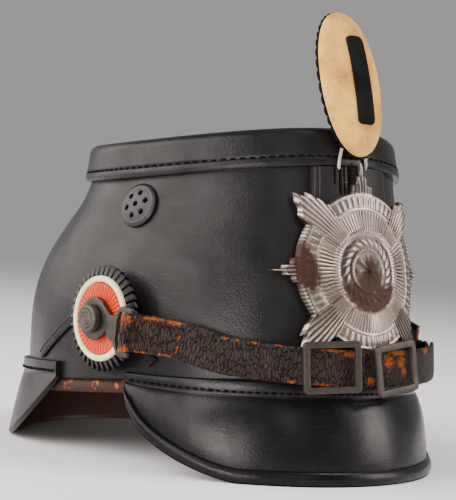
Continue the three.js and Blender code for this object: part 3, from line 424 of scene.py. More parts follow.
def stitch_tree():
    """Stitches along a line: short rounded pieces at even steps, each a little off the last one."""
    tree = bpy.data.node_groups.new("stitches", "GeometryNodeTree")
    for name, kind, value in (("Geometry", "Geometry", None), ("Pitch", "Float", 0.0045),
                              ("Length", "Float", 0.0028), ("Thickness", "Float", 0.0009),
                              ("Unevenness", "Float", 0.12), ("Seed", "Int", 3),
                              ("Thread", "Material", None)):
        socket = tree.interface.new_socket(name, in_out="INPUT", socket_type=f"NodeSocket{kind}")
        if value is not None:
            socket.default_value = value
    tree.interface.new_socket("Geometry", in_out="OUTPUT", socket_type="NodeSocketGeometry")
    given = add_node(tree, "NodeGroupInput").outputs
    spots = add_node(tree, "GeometryNodeCurveToPoints",
                     {"Curve": given["Geometry"], "Length": given["Pitch"]}, mode="LENGTH").outputs
    ball = add_node(tree, "GeometryNodeMeshUVSphere", {"Segments": 8, "Rings": 6, "Radius": 0.5})
    size = add_node(tree, "ShaderNodeCombineXYZ",
                    {"X": given["Thickness"], "Y": given["Thickness"], "Z": given["Length"]})
    shaped = add_node(tree, "GeometryNodeTransform",
                      {"Geometry": ball.outputs["Mesh"], "Scale": size.outputs["Vector"]})
    low, high = (add_node(tree, "ShaderNodeMath", {0: 1.0, 1: given["Unevenness"]}, operation=way).outputs[0]
                 for way in ("SUBTRACT", "ADD"))
    varied = add_node(tree, "FunctionNodeRandomValue", {2: low, 3: high, "Seed": given["Seed"]},
                      data_type="FLOAT")
    placed = add_node(tree, "GeometryNodeInstanceOnPoints", {
        "Points": spots["Points"], "Instance": shaped.outputs["Geometry"], "Rotation": spots["Rotation"],
        "Scale": varied.outputs[1]})
    real = add_node(tree, "GeometryNodeRealizeInstances", {"Geometry": placed.outputs["Instances"]})
    sewn = add_node(tree, "GeometryNodeSetMaterial",
                    {"Geometry": real.outputs["Geometry"], "Material": given["Thread"]})
    add_node(tree, "NodeGroupOutput", {"Geometry": sewn.outputs["Geometry"]})
    return tree


stitches = stitch_tree()


def stitch(name, points, material, pitch, length, thickness, round_it=False):
    """Sews one seam along points of the hat's frame, in millimetres."""
    curve = bpy.data.curves.new(name, "CURVE")
    curve.dimensions = "3D"
    spline = curve.splines.new("POLY")
    places = stand(points)
    spline.points.add(len(places) - 1)
    spline.points.foreach_set("co", np.c_[places, np.ones(len(places))].ravel())
    spline.use_cyclic_u = round_it
    line = bpy.data.objects.new(name, curve)
    bpy.context.scene.collection.objects.link(line)
    sewing = line.modifiers.new("stitches", "NODES")
    sewing.node_group = stitches
    values = {"Pitch": pitch / 1000, "Length": length / 1000, "Thickness": thickness / 1000,
              "Thread": material}
    for item in stitches.interface.items_tree:
        if item.in_out == "INPUT" and item.name in values:
            sewing[item.identifier] = values[item.name]
    mesh = bpy.data.meshes.new_from_object(line.evaluated_get(bpy.context.evaluated_depsgraph_get()))
    mesh.name = name
    bpy.data.objects.remove(line)
    mesh.materials.clear()
    return piece(name, mesh, 60, material)


black_thread = thread("black_thread", (0.0015, 0.0014, 0.0014, 1))
seam_angles = np.linspace(0, 360, 361)[:-1]
lid_seam = on_oval(lid_oval, seam_angles, lid_height(seam_angles) + LID_GROOVE_HEIGHT, outside - 0.25)
stitch("lid_stitches", lid_seam, black_thread, 4.5, 2.9, 1.4, round_it=True)

# Peak
# Stiff glossy leather, moulded down and out from the rim. A strip along its top is sewn to the crown,
# and its lower edge is rolled into a thick bead with a groove above.
PEAK_WALL, PEAK_HALF_ANGLE, PEAK_LEVEL_ANGLE = 2.2, 71.0, 40.0
PEAK_SEAM_FRONT, PEAK_SEAM_SIDE = -0.5, 3.5
PEAK_STRIP_FRONT, PEAK_STRIP_SIDE, PEAK_STRIP_PROUD = 7.5, 4.6, 0.45
PEAK_BEAD_HEIGHT, PEAK_BEAD_PROUD, PEAK_EDGE_WALL = 6.8, 2.4, 4.0
peak_leather = leather("peak_leather", (0.0026, 0.0022, 0.0024, 1), (0.006, 0.0052, 0.0055, 1), 0.24, 1300,
                       0.12, 0.12, 0.05)


def floor_at(y):
    return -PEAK_DROP + GROUND_SLOPE * (y + RIM_FRONT + PEAK_FLARE)


def standing(angle, out, lift):
    p = on_crown(angle, 0, out)
    p[..., 2] = floor_at(p[..., 1]) + lift
    return p


def peak_seam(angle):
    share = np.abs(angle) / PEAK_HALF_ANGLE
    seam = PEAK_SEAM_FRONT + (PEAK_SEAM_SIDE - PEAK_SEAM_FRONT) * share ** 3
    return seam, PEAK_STRIP_FRONT + (PEAK_STRIP_SIDE - PEAK_STRIP_FRONT) * share ** 2


peak_columns = []
for angle in PEAK_HALF_ANGLE * np.sin(np.radians(np.linspace(-90, 90, 181))):
    seam, strip = peak_seam(angle)
    rising = np.clip((abs(angle) - PEAK_LEVEL_ANGLE) / (PEAK_HALF_ANGLE - PEAK_LEVEL_ANGLE), 0, 1)
    lifted = 1 - math.sqrt(max(0, 1 - rising ** 1.4))
    start = (GAP + PEAK_WALL, seam - strip)
    flare = PEAK_FLARE + (start[0] + 0.6 - PEAK_FLARE) * lifted ** 2
    foot = flare - 1
    low = float(standing(angle, foot, 0)[2])
    bottom = low + (start[1] - 1.5 - low) * lifted
    bead = min(1, (start[1] - bottom) / (2 * PEAK_BEAD_HEIGHT))
    groove = (max(start[0], flare - PEAK_BEAD_PROUD * bead), bottom + PEAK_BEAD_HEIGHT * bead)
    bend = (groove[0], start[1] + (groove[1] - start[1]) * 0.25)
    t = np.linspace(0, 1, 21)[:, None]
    curve = (1 - t) ** 2 * np.array(start) + 2 * t * (1 - t) * np.array(bend) + t ** 2 * np.array(groove)
    proud = PEAK_STRIP_PROUD
    top = [(start[0] - 0.6, seam), (start[0] + proud - 0.15, seam - 0.25), (start[0] + proud, seam - 0.8),
           (start[0] + proud + 0.1, seam - strip * 0.5), (start[0] + proud, seam - strip + 0.5),
           (start[0] + proud - 0.15, seam - strip + 0.1)]
    radius = PEAK_BEAD_HEIGHT * bead / 2
    depth = PEAK_BEAD_PROUD * bead
    rolled = [(flare - depth + depth * max(0.0, math.cos(a)) ** 0.8, bottom + radius + radius * math.sin(a))
              for a in np.radians(np.linspace(62, -75, 11))]
    ahead = np.array(top + curve[1:-1].tolist() + [(groove[0] - 0.2 * bead, groove[1] - 0.2)] + rolled)
    outer = on_crown(angle, 0, ahead[:, 0])
    outer[:, 2] = ahead[:, 1]
    outer = np.vstack([outer, standing(angle, foot, bottom - low)[None]])
    behind = np.array([(GAP, seam), (GAP, seam - strip)]
                      + [(max(GAP, x - PEAK_WALL), z) for x, z in curve[1:]]
                      + [(max(GAP, groove[0] - PEAK_WALL), bottom + PEAK_BEAD_HEIGHT * bead * up)
                         for up in (0.7, 0.35)])
    count = len(outer) - 1
    spots = np.linspace(0, len(behind) - 1, count)
    even = np.c_[np.interp(spots, range(len(behind)), behind[:, 0]),
                 np.interp(spots, range(len(behind)), behind[:, 1])]
    inner = on_crown(angle, 0, even[:, 0])
    inner[:, 2] = even[:, 1]
    inner = np.vstack([inner, standing(angle, max(GAP, foot - PEAK_EDGE_WALL), bottom - low)[None]])
    peak_columns.append(np.concatenate([outer, inner[::-1]]))
sew("peak", peak_columns, peak_leather, ["front_peak"], round_it=False, sharp=60)

seam_angles = np.linspace(-PEAK_HALF_ANGLE + 2, PEAK_HALF_ANGLE - 2, 160)
seam, strip = peak_seam(seam_angles)
peak_line = on_crown(seam_angles, 0, GAP + PEAK_WALL + PEAK_STRIP_PROUD + 0.1)
peak_line[:, 2] = seam - strip + 1.3
stitch("peak_stitches", peak_line, black_thread, 3.5, 2.9, 1.15)

# Neck guard
# A shorter flap of the same leather behind, sewn to the crown by its upper edge and brown with wear on
# its inner face.
GUARD_WALL, GUARD_HALF_ANGLE, GUARD_LEVEL_ANGLE = 2.2, 83.0, 42.0
GUARD_SEAM_BACK, GUARD_SEAM_SIDE, GUARD_STRIP, GUARD_EDGE_WALL = 11.0, 8.0, 6.0, 2.8
guard_leather = leather("guard_leather", (0.0032, 0.0028, 0.003, 1), (0.0085, 0.0072, 0.0072, 1), 0.34, 900,
                        0.2, 0.2, inner=(0.07, 0.034, 0.029, 1))


def guard_seam(angle):
    share = np.abs(angle - 180) / GUARD_HALF_ANGLE
    return GUARD_SEAM_BACK + (GUARD_SEAM_SIDE - GUARD_SEAM_BACK) * share ** 2


guard_columns = []
for angle in 180 + GUARD_HALF_ANGLE * np.sin(np.radians(np.linspace(-90, 90, 141))):
    off, seam = abs(angle - 180), guard_seam(angle)
    rising = np.clip((off - GUARD_LEVEL_ANGLE) / (GUARD_HALF_ANGLE - GUARD_LEVEL_ANGLE), 0, 1)
    lifted = rising ** 2.1
    narrow = GAP + GUARD_WALL + 0.6
    flare = narrow + (GUARD_FLARE - narrow) * (1 - rising ** 3)
    start = (GAP + GUARD_WALL, seam - GUARD_STRIP)
    low = float(standing(angle, flare, 0)[2])
    bottom = low + (start[1] - 1.5 - low) * lifted
    middle = (start[0] + (flare - start[0]) * 0.42, start[1] + (bottom - start[1]) * 0.36)
    lower = (start[0] + (flare - start[0]) * 0.82, start[1] + (bottom - start[1]) * 0.78)
    end = (flare, bottom)
    knots = np.array([start, middle, lower, end])
    s = np.linspace(0, 3, 16)[1:-1]
    flank = np.c_[np.interp(s, range(4), knots[:, 0]), np.interp(s, range(4), knots[:, 1])]
    ahead = np.array([(start[0] - 0.5, seam), (start[0] + 0.25, seam - 0.35), (start[0] + 0.35, seam - 3),
                      (start[0] + 0.3, seam - GUARD_STRIP + 0.4), (start[0], seam - GUARD_STRIP)]
                     + flank.tolist())
    behind = np.array([(GAP, seam)] * 2 + [(GAP, seam - 3), (GAP, seam - GUARD_STRIP + 0.4),
                                           (GAP, seam - GUARD_STRIP)] + (flank - [GUARD_WALL, 0]).tolist())
    outer, inner = on_crown(angle, 0, ahead[:, 0]), on_crown(angle, 0, np.maximum(GAP, behind[:, 0]))
    outer[:, 2], inner[:, 2] = ahead[:, 1], behind[:, 1]
    outer = np.vstack([outer, standing(angle, flare - 0.1, bottom - low + 0.5)[None],
                       standing(angle, flare - 0.5, bottom - low)[None]])
    foot = max(GAP, flare - GUARD_EDGE_WALL)
    above_foot = foot - 0.1 if foot > GAP + 0.2 else foot
    inner = np.vstack([inner, standing(angle, above_foot, bottom - low + 0.5)[None],
                       standing(angle, foot, bottom - low)[None]])
    guard_columns.append(np.concatenate([outer, inner[::-1]]))
guard = sew("guard", guard_columns, guard_leather, ["neck_guard"], round_it=False, sharp=60)
hat_middle = stand([0, 0, -20])
keep_marks(guard, "inner_face", [
    float((p.center.x - hat_middle[0]) * p.normal.x + (p.center.y - hat_middle[1]) * p.normal.y < -0.01)
    for p in guard.data.polygons], "FACE")
seam_angles = np.linspace(180 - GUARD_HALF_ANGLE + 2, 180 + GUARD_HALF_ANGLE - 2, 160)
guard_line = on_crown(seam_angles, 0, GAP + GUARD_WALL + 0.5)
guard_line[:, 2] = guard_seam(seam_angles) - GUARD_STRIP + 1.2
stitch("guard_stitches", guard_line, black_thread, 3.8, 2.8, 1.3)

# Sweatband
# Thin brown leather inside the rim, turned out under it in a soft roll that shows between the peak and
# the neck guard, rubbed orange where it bears.
SWEATBAND_WALL, SWEATBAND_HEIGHT, SWEATBAND_ROLL = 1.5, 18.0, 6.0

finish = Finish("band_leather")
place = finish.coordinates()
skin = finish.blend(finish.noise(place, 130, 6, 0.7), (0.010, 0.005, 0.0038, 1), (0.05, 0.022, 0.015, 1))
rubbed = finish.spread(finish.noise(place, 70, 5, 0.75), 0, 0.95, 0.56, 0.60)
wrinkles = finish.noise(finish.drawn(finish.coordinates("UV"), (0.9, 0.22, 1)), 0.5, 5, 0.7)
band_leather = finish.lay(
    base_color=finish.blend(rubbed, skin, (0.34, 0.075, 0.006, 1)), roughness=0.6, specular_ior_level=0.15,
    normal=finish.bump(finish.cells(place, 700), 0.35, 0.0003, finish.bump(wrinkles, 0.7, 0.0008)))

band_face = -(BODY_WALL + GAP)
band_deep = band_face - SWEATBAND_WALL
band_columns = []
for angle in crown_angles:
    roll = np.radians(np.linspace(75, -60, 7))
    outer = np.vstack([
        on_crown(angle, np.linspace(SWEATBAND_HEIGHT, 1, 8), band_face),
        on_oval(crown_oval(np.full(1, angle), np.zeros(1)), angle, np.array([-GAP]), band_face),
        on_oval(crown_oval(np.full(7, angle), np.zeros(7)), angle,
                -GAP - 3.0 + 2.6 * np.sin(roll), -2.0 + 1.8 * np.cos(roll)),
        on_oval(crown_oval(np.full(1, angle), np.zeros(1)), angle, np.array([-GAP - SWEATBAND_ROLL]), -2.2),
    ])
    heights = np.linspace(SWEATBAND_HEIGHT, -SWEATBAND_ROLL * 0.85, len(outer))
    inner = on_oval(crown_oval(np.full(len(outer), angle), np.maximum(heights, 0)), angle, heights,
                    np.linspace(band_deep, band_deep - 0.2, len(outer)))
    band_columns.append(np.concatenate([outer, inner[::-1]]))
sew("band", band_columns, band_leather, ["sweatband"], sharp=60)

# Side welts
# A narrow folded leather strip on each side, sewn up from the neck guard to behind the cockade and down
# again to the peak.
WELT_WIDTH, WELT_WALL, WELT_HEIGHT, WELT_SEAM = 5.0, 1.3, 36.0, 0.55
# Each row: an angle round the crown and a share of the welt's height
WELT_LINE = [(108, 0.32), (100, 0.54), (92, 0.765), (85, 0.93), (78, 1.0), (72, 0.86), (69, 0.585),
             (66.5, 0.345), (63.5, 0.21)]
# Each row: a place across the welt from -1 to 1 and how far it stands out
WELT_RIDGE = [(-1, 0.45), (-0.92, 0.9), (-0.7, 1.12), (-0.45, 0.95), (0, WELT_WALL), (0.45, 0.95),
              (0.7, 1.12), (0.92, 0.9), (1, 0.45)]


def smooth_line(points, count):
    """Even parameter steps along a smooth centripetal line through the points, and its directions."""
    p = np.asarray(points, float)
    p = np.vstack([2 * p[0] - p[1], p, 2 * p[-1] - p[-2]])
    places, ways = [], []
    for t in np.linspace(0, len(p) - 3, count):
        i = min(int(t), len(p) - 4)
        u = t - i
        a, b, c, d = p[i:i + 4]
        ab, bc, cd = (max(np.linalg.norm(q - r) ** 0.5, 1e-4) for q, r in ((b, a), (c, b), (d, c)))
        m1 = ((b - a) / ab - (c - a) / (ab + bc) + (c - b) / bc) * bc
        m2 = ((c - b) / bc - (d - b) / (bc + cd) + (d - c) / cd) * bc
        places.append((2 * u ** 3 - 3 * u ** 2 + 1) * b + (u ** 3 - 2 * u ** 2 + u) * m1
                      + (3 * u ** 2 - 2 * u ** 3) * c + (u ** 3 - u ** 2) * m2)
        way = ((6 * u ** 2 - 6 * u) * b + (3 * u ** 2 - 4 * u + 1) * m1
               + (6 * u - 6 * u ** 2) * c + (3 * u ** 2 - 2 * u) * m2)
        ways.append(way / max(np.linalg.norm(way), 1e-9))
    return np.array(places), np.array(ways)


for side, sign in (("right", 1), ("left", -1)):
    places, ways = smooth_line([(a, share * WELT_HEIGHT, 0) for a, share in WELT_LINE], 90)
    degree = math.radians(1) * RIM_SIDE
    columns, seams = [], ([], [])
    for (a, z, _), (wa, wz, _) in zip(places, ways):
        across = np.array([-wz, wa * degree])
        across /= np.linalg.norm(across)

        def welt_place(share, out):
            shift = share * WELT_WIDTH / 2
            return on_crown(sign * (a + across[0] * shift / degree), z + across[1] * shift, out)

        columns.append([welt_place(place, GAP + rise) for place, rise in WELT_RIDGE]
                       + [welt_place(place, GAP) for place, _ in WELT_RIDGE[::-1]])
        for line, place in zip(seams, (-WELT_SEAM, WELT_SEAM)):
            line.append(welt_place(place, GAP + 0.95))
    sew(f"welt_{side}", columns, crown_leather, [f"side_welt_{side}"], round_it=False)
    for which, line in zip(("low", "high"), seams):
        stitch(f"welt_stitches_{which}_{side}", line, black_thread, 2.6, 1.7, 0.55)

# Badge pocket
# A leather pocket sewn to the front of the crown under the lid, cracked with age, that takes the pins
# of the field badge.
FRONT_ASIDE, PIN_DIAMETER = 3.2, 1.6
POCKET_WIDTH, POCKET_DROP, POCKET_HEIGHT, POCKET_WALL = 45.0, 4.0, 24.0, 1.8
POCKET_SHADOW, POCKET_SEAMS = 0.5, (0.84, 0.93)
# Each row is a split down from the upper edge: place and half width as shares of the pocket, depth, length
POCKET_SPLITS = [(0.42, 0.02, 0.9, 13), (0.54, 0.014, 0.8, 8), (0.33, 0.012, 0.7, 17), (0.17, 0.06, 1.5, 9.5)]
pocket_out = PIN_DIAMETER + 3 * GAP
pocket_half = math.degrees(POCKET_WIDTH / 2 / TOP_SIDE)
pocket_middle = math.degrees(FRONT_ASIDE / TOP_SIDE)
cracked = leather("cracked_leather", (0.0035, 0.003, 0.003, 1), (0.011, 0.0095, 0.0095, 1), 0.4, 800,
                  0.4, 0.8, split=True)
columns = []
for edge in np.linspace(-1, 1, 221):
    angle = pocket_middle + edge * pocket_half
    reach = abs(edge)
    out = GAP if reach > 0.95 else GAP + (pocket_out - GAP) * (1 - reach ** 4)
    fold = 0.45 * sum(math.exp(-((reach - seam) / 0.018) ** 2) for seam in POCKET_SEAMS)
    top = lid_height(angle) - POCKET_SHADOW
    heights = np.linspace(top, lid_height(angle) - POCKET_DROP - POCKET_HEIGHT, 40)
    splits = sum(depth * math.exp(-((edge - place) / half) ** 2) * (top - heights < length)
                 for place, half, depth, length in POCKET_SPLITS)
    outer, inner = on_crown(angle, heights, out + POCKET_WALL - fold - splits), on_crown(angle, heights, out)
    columns.append(np.concatenate([outer, inner[::-1]]))
pocket = sew("pocket", columns, cracked, ["badge_pocket"], round_it=False)
across, _, level = level_points(pocket).T
reached = crown_oval(0 * level, level)[2] + pocket_out
edges = (np.degrees(np.arcsin(-across / reached)) - pocket_middle) / pocket_half
tops = lid_height(edges * pocket_half + pocket_middle) - POCKET_SHADOW
keep_marks(pocket, "split", np.clip(1.4 * sum(
    np.exp(-((edges - middle) / (half * 1.1)) ** 2) * (tops - level < length)
    for middle, half, _, length in POCKET_SPLITS), 0, 1))

# Star plate
# A stamped and silvered plate, bent round the front: a round medallion with beaded rims and a rosette,
# fluted rays, a raised outer band and eight arms of rays. Brown tarnish lies low on the medallion and
# on the band at the wearer's right.
STAR_RADIUS, STAR_SIDE_RADIUS, STAR_RING_RADIUS, STAR_RING_INNER = 51.0, 48.5, 36.0, 28.0
STAR_MEDAL_RADIUS, STAR_DROP, STAR_WALL, STAR_RELIEF = 19.4, 48.5, 1.2, 1.6
STAR_HEIGHT = LID_FRONT_HEIGHT - STAR_DROP
ROSETTE_RADIUS, INNER_BEADS_RADIUS, LEAVES_RADIUS = 9.3, 10.1, 13.6
MEDAL_LINE_RADIUS, OUTER_BEADS_RADIUS = 16.9, 18.3
BAND_INNER_EDGE, BAND_DOTS_RADIUS, BAND_OUTER_EDGE = 28.7, 32.0, 35.2
# Each row of an arm's outline: degrees from its middle and a share of its length
STRAIGHT_ARM = [(-9.5, 0.7), (-8, 0.78), (-4, 0.79), (-3, 0.86), (-1, 0.87), (0, 1.0), (1, 0.87), (3, 0.86),
                (4, 0.79), (8, 0.78), (9.5, 0.7)]
SLANTING_ARM = [(-10.5, 0.7), (-8, 0.81), (-4.5, 0.84), (-3.5, 0.89), (0.5, 0.96), (4, 0.86), (5.5, 0.9),
                (8.5, 0.8), (10.5, 0.7)]
star_out = pocket_out + POCKET_WALL + GAP
star_face = star_out + STAR_WALL + STAR_RELIEF

outline_angles, outline_radii = [], []
for arm in range(8):
    longest = STAR_SIDE_RADIUS if arm % 4 == 2 else STAR_RADIUS
    for off, reach in (SLANTING_ARM if arm % 2 else STRAIGHT_ARM):
        outline_angles.append(arm * 45 + off)
        outline_radii.append(max(STAR_RING_RADIUS, reach * longest))
    outline_angles.append((arm + 0.5) * 45)
    outline_radii.append(STAR_RING_RADIUS)


def crest(radius, middle, half):
    """A narrow raised line round the plate."""
    return np.exp(-((radius - middle) / half) ** 2)


def beads(radius, turn, count, middle, half):
    """A ring of beads round the plate."""
    swell = 0.45 + 0.55 * np.abs(np.cos(turn * count / 2))
    return np.clip(1 - ((radius - middle) / half) ** 2, 0, 1) ** 0.5 * swell


def rays(off, step):
    """Sharp ridges that run outwards, a step of degrees from each other."""
    return 1 - np.abs(((off / step + 0.5) % 1) - 0.5) * 2


def star_relief(radius, angle):
    """How far the stamping stands over the plate, in millimetres, at a radius and an angle from the top."""
    slant, upright, turn = (angle % 90) - 45, ((angle + 45) % 90) - 45, np.radians(angle)
    petals = np.cos(radius / ROSETTE_RADIUS * 1.5) * (0.6 + 0.4 * np.cos(8 * turn))
    medal = np.where(radius < ROSETTE_RADIUS, 0.7 + 0.55 * petals, 0.75)
    off = radius - LEAVES_RADIUS
    leaves = (np.abs(np.sin(11 * turn + off * 0.75)) > 0.55) * np.clip(1.2 - np.abs(off) / 2, 0, 1)
    medal = (medal + 0.5 * beads(radius, turn, 44, INNER_BEADS_RADIUS, 0.75)
             + 0.4 * leaves * (np.abs(off) < 2.3)
             + 0.55 * beads(radius, turn, 76, OUTER_BEADS_RADIUS, 0.9)
             + 0.25 * crest(radius, MEDAL_LINE_RADIUS, 0.25))
    flutes = 0.35 + 0.75 * np.abs(np.sin(turn * 44)) ** 0.8
    dots = (np.clip(np.cos(turn * 62), 0, 1) ** 0.7
            * np.clip(1 - np.abs(radius - BAND_DOTS_RADIUS) / 2.4, 0, 1) ** 0.5)
    band = (1.15 + 0.4 * crest(radius, BAND_INNER_EDGE, 0.4) + 0.4 * crest(radius, BAND_OUTER_EDGE, 0.4)
            + 0.35 * dots)
    bundle = 0.65 + 1.05 * rays(slant, 3.1) ** 0.8 - 0.012 * np.clip(radius - STAR_RING_RADIUS, 0, 20)
    spikes = 0.5 + 0.9 * rays(upright, 2.7) ** 0.8
    relief = np.where(radius < STAR_RING_INNER, flutes, band)
    relief = np.where(radius > STAR_RING_RADIUS, spikes, relief)
    relief = np.where((np.abs(slant) < 10.9) & (radius > STAR_MEDAL_RADIUS), bundle, relief)
    return np.where(radius < STAR_MEDAL_RADIUS, medal, relief)


def on_star(radius, angle, height):
    x = radius * np.sin(np.radians(angle)) - FRONT_ASIDE
    z = STAR_HEIGHT + radius * np.cos(np.radians(angle))
    out = star_out + height
    return on_crown(-np.degrees(x / (crown_oval(0 * z, z)[2] + out)), z, out)


finish = Finish("star_metal")
place = finish.coordinates()
cloud, speckle = finish.noise(place, 190, 6, 0.7), finish.noise(place, 600, 4, 0.8)
stained = finish.spread(finish.add(finish.mark("stain"), cloud), 0, 1, 0.88, 1.2)
silver = finish.blend(speckle, (0.22, 0.18, 0.155, 1), (0.60, 0.51, 0.45, 1))
# The metal is darkened towards near black where the stamping lies low.
darkened_low = finish.blend(finish.mark("grime"), silver, (0.012, 0.008, 0.0065, 1))
rust = finish.blend(cloud, (0.003, 0.0015, 0.0012, 1), (0.058, 0.022, 0.0145, 1))
star_metal = finish.lay(
    base_color=finish.blend(stained, darkened_low, rust), roughness=finish.spread(stained, 0.3, 0.55),
    metallic=finish.spread(stained, 0.9, 0.15), specular_ior_level=0.2,
    normal=finish.bump(speckle, 0.25, 0.0003))

outline_turns = np.mod(outline_angles, 360)
star_angles = np.unique(np.concatenate([np.linspace(0, 360, 705)[:-1], outline_turns]))
order = np.argsort(outline_turns)
edge_radii = np.interp(star_angles, outline_turns[order], np.array(outline_radii)[order], period=360)
columns = []
for angle, edge in zip(star_angles, edge_radii):
    radii = np.append(np.linspace(0, STAR_RING_INNER, 44), np.linspace(STAR_RING_INNER + 0.3, edge, 24))
    turns = np.full(len(radii), angle)
    heights = STAR_WALL + star_relief(radii, turns)
    heights[-1] = STAR_WALL * 0.6
    heights[-2] = min(heights[-2], STAR_WALL + 0.5)
    columns.append(np.concatenate([on_star(radii, turns, heights), on_star(radii, turns, 0 * radii)[::-1]]))
star = sew("star", columns, star_metal, ["front_star"], sharp=75)
across, _, level = level_points(star).T
across, level = across + FRONT_ASIDE, level - STAR_HEIGHT
distance = np.hypot(across * 1.08, level)
stamped = star_relief(distance, np.degrees(np.arctan2(across * 1.08, level)))
proud = np.where(distance < STAR_MEDAL_RADIUS, 1.35, np.where(distance < STAR_RING_INNER, 0.95, 1.45))
# How low the stamping lies under its raised parts, for the darkening.
keep_marks(star, "grime", np.clip((proud - stamped) / 0.55, 0, 0.85))
low_medal = np.clip((1 - level) / 9, 0, 1) * np.clip((21 - distance) / 3, 0, 1)
middle_spot = np.clip(1.3 - np.hypot(across - 1, level - 1) / 8, 0, 1)
right_band = np.clip(1.6 - np.hypot((across + 32.5) / 5, (level - 2) / 13), 0, 1)
right_band *= np.clip((distance - 26.5) / 2, 0, 1)
right_flutes = np.clip(1 - np.hypot((across + 25) / 9, (level + 6) / 15), 0, 1)
keep_marks(star, "stain", np.clip(
    low_medal * 0.75 + middle_spot * 0.8 + right_band * 0.8 + right_flutes * 0.5, 0, 0.85))

# Chin strap
# Two halves of dark crackled leather, each looped round the bar of its lug and sewn back on itself. The
# right half lies over the left half in front, and its free end runs on past the frames.
STRAP_WIDTH, STRAP_WALL, STRAP_FRONT_HEIGHT, STRAP_TAIL, STRAP_LOOP_WALL = 16.5, 2.0, 5.0, 25.0, 1.5
STRAP_FREE_ANGLE, STRAP_UNDER_ANGLE, STRAP_BAR_ANGLE, STRAP_TOUCH_ANGLE = -37.0, 20.0, 64.0, 44.0
STRAP_SEWN_LENGTH, STRAP_EDGE, STRAP_SOFT = 44.0, 0.99, 0.28
BOX_START, BOX_END, BOX_HALF = 4.5, 23.0, 0.72
LUG_WALL, LUG_REACH, LUG_SHIFT = 2.0, 24.6, 2.3
LUG_SLOPES = {"right": 10.3, "left": 23.0}
COCKADE_WALL, COCKADE_RISE = 1.2, 3.2
cockade_base = RIM_SIDE + 2 * GAP + WELT_WALL
ring_top = COCKADE_WALL + COCKADE_RISE
lug_base = ring_top + 2 * GAP
strap_under = star_face + 2 * GAP
strap_over = strap_under + STRAP_WALL + GAP
frame_out = strap_over + STRAP_WALL + 2.5 * GAP


def lug_line(side, along, across):
    slope = math.radians(LUG_SLOPES[side])
    x, y = along, across - LUG_SHIFT
    return np.array([x * math.cos(slope) + y * math.sin(slope), y * math.cos(slope) - x * math.sin(slope)])


def strap_height(angle, bar_height):
    return STRAP_FRONT_HEIGHT + (bar_height - STRAP_FRONT_HEIGHT) * (abs(angle) / STRAP_BAR_ANGLE) ** 2.5


def strap_line(side, sign, out, end_angle):
    """Even steps along one half, from the bar of its lug, with the length reached and the direction."""
    bar = lug_line(side, LUG_REACH, 0)
    bar_up = lug_line(side, LUG_REACH, 1) - bar
    start = np.array([-(cockade_base + lug_base + LUG_WALL / 2), -COCKADE_FORWARD - bar[0],
                      COCKADE_HEIGHT + bar[1]])
    turns = []
    for angle in np.linspace(STRAP_TOUCH_ANGLE, end_angle, 13):
        p = on_crown(angle, 0, out)
        p[2] = strap_height(angle, start[2])
        turns.append(p)
    between = (start + turns[0]) / 2
    between[2] = start[2] + (between[1] - start[1]) * bar_up[0] / bar_up[1]
    points = np.array([start, between] + turns) * [sign, 1, 1]
    places, ways = smooth_line(points, 1500)
    lengths = np.concatenate([[0], np.cumsum(np.linalg.norm(np.diff(places, axis=0), axis=1))])
    return places, ways, lengths


finish = Finish("strap_leather")
place, flat = finish.coordinates(), finish.coordinates("UV")
mottle = finish.noise(place, 150, 6, 0.7)
skin = finish.blend(mottle, (0.004, 0.0024, 0.002, 1), (0.04, 0.023, 0.018, 1))
warped = add_node(finish.tree, "ShaderNodeVectorMath", {
    0: finish.noise(place, 260, 3, kind="Color"), 1: (1.1, 1.0, 0), 2: finish.drawn(flat, (0.95, 0.24, 0))},
    operation="MULTIPLY_ADD").outputs["Vector"]
cracks = finish.cells(warped, 1.0, "DISTANCE_TO_EDGE")
open_crack = finish.spread(cracks, 1.0, 0.0, 0.01, 0.1)
flecks = finish.spread(finish.noise(place, 700, 6, 0.85), 0, 1, 0.3, 0.7)
bare = finish.spread(finish.add(finish.mark("wear"), flecks), 0, 1, 0.96, 1.14)
rubbed = finish.blend(mottle, (0.08, 0.012, 0.001, 1), (0.46, 0.10, 0.004, 1))
wrinkles = finish.noise(finish.drawn(flat, (0.9, 0.2, 1)), 0.9, 6, 0.75)
strap_leather = finish.lay(
    base_color=finish.blend(bare, finish.blend(open_crack, skin, (0.002, 0.0015, 0.0015, 1)), rubbed),
    roughness=0.42, specular_ior_level=finish.spread(open_crack, 0.19, 0.04),
    normal=finish.bump(finish.spread(cracks, 0, 1, 0, 0.16), 0.8, 0.0008, finish.bump(wrinkles, 0.9, 0.0011)))

# Each row is a rubbed place: length along the strap, place across it from -1 to 1, and half sizes
RUBBED_EYE = [(0.5, 0.85, 2.4, 0.5), (0.5, -0.9, 2.2, 0.35), (-1.5, 0, 0.9, 0.9), (12, 0.95, 7, 0.17),
              (21, 0.9, 3.5, 0.22), (7, -0.97, 4, 0.1), (19, -0.95, 4, 0.12), (24.3, 0.35, 0.8, 0.45),
              (24.6, -0.5, 0.7, 0.4)]
RUBBED = {
    "right": RUBBED_EYE + [
        (44, 0.9, 1.6, 0.14), (50, 0.95, 1.7, 0.12), (58, 0.95, 1.6, 0.1), (69, 0.95, 2, 0.09),
        (76, -0.9, 2.2, 0.12), (88, -0.95, 9, 0.12), (94, 0.93, 7, 0.14), (104, 0.75, 6, 0.2),
        (113, -0.7, 2.6, 0.3), (124, 0.4, 3.5, 0.5), (131, 0.9, 7, 0.3), (133, 0.35, 4.5, 0.35),
        (135, -0.2, 2.4, 0.3), (158, 0.85, 4, 0.22)],
    "left": RUBBED_EYE + [
        (52, 0.95, 3, 0.12), (70, -0.95, 5, 0.12), (88, 0.95, 4, 0.12), (104, -0.9, 6, 0.14)],
}
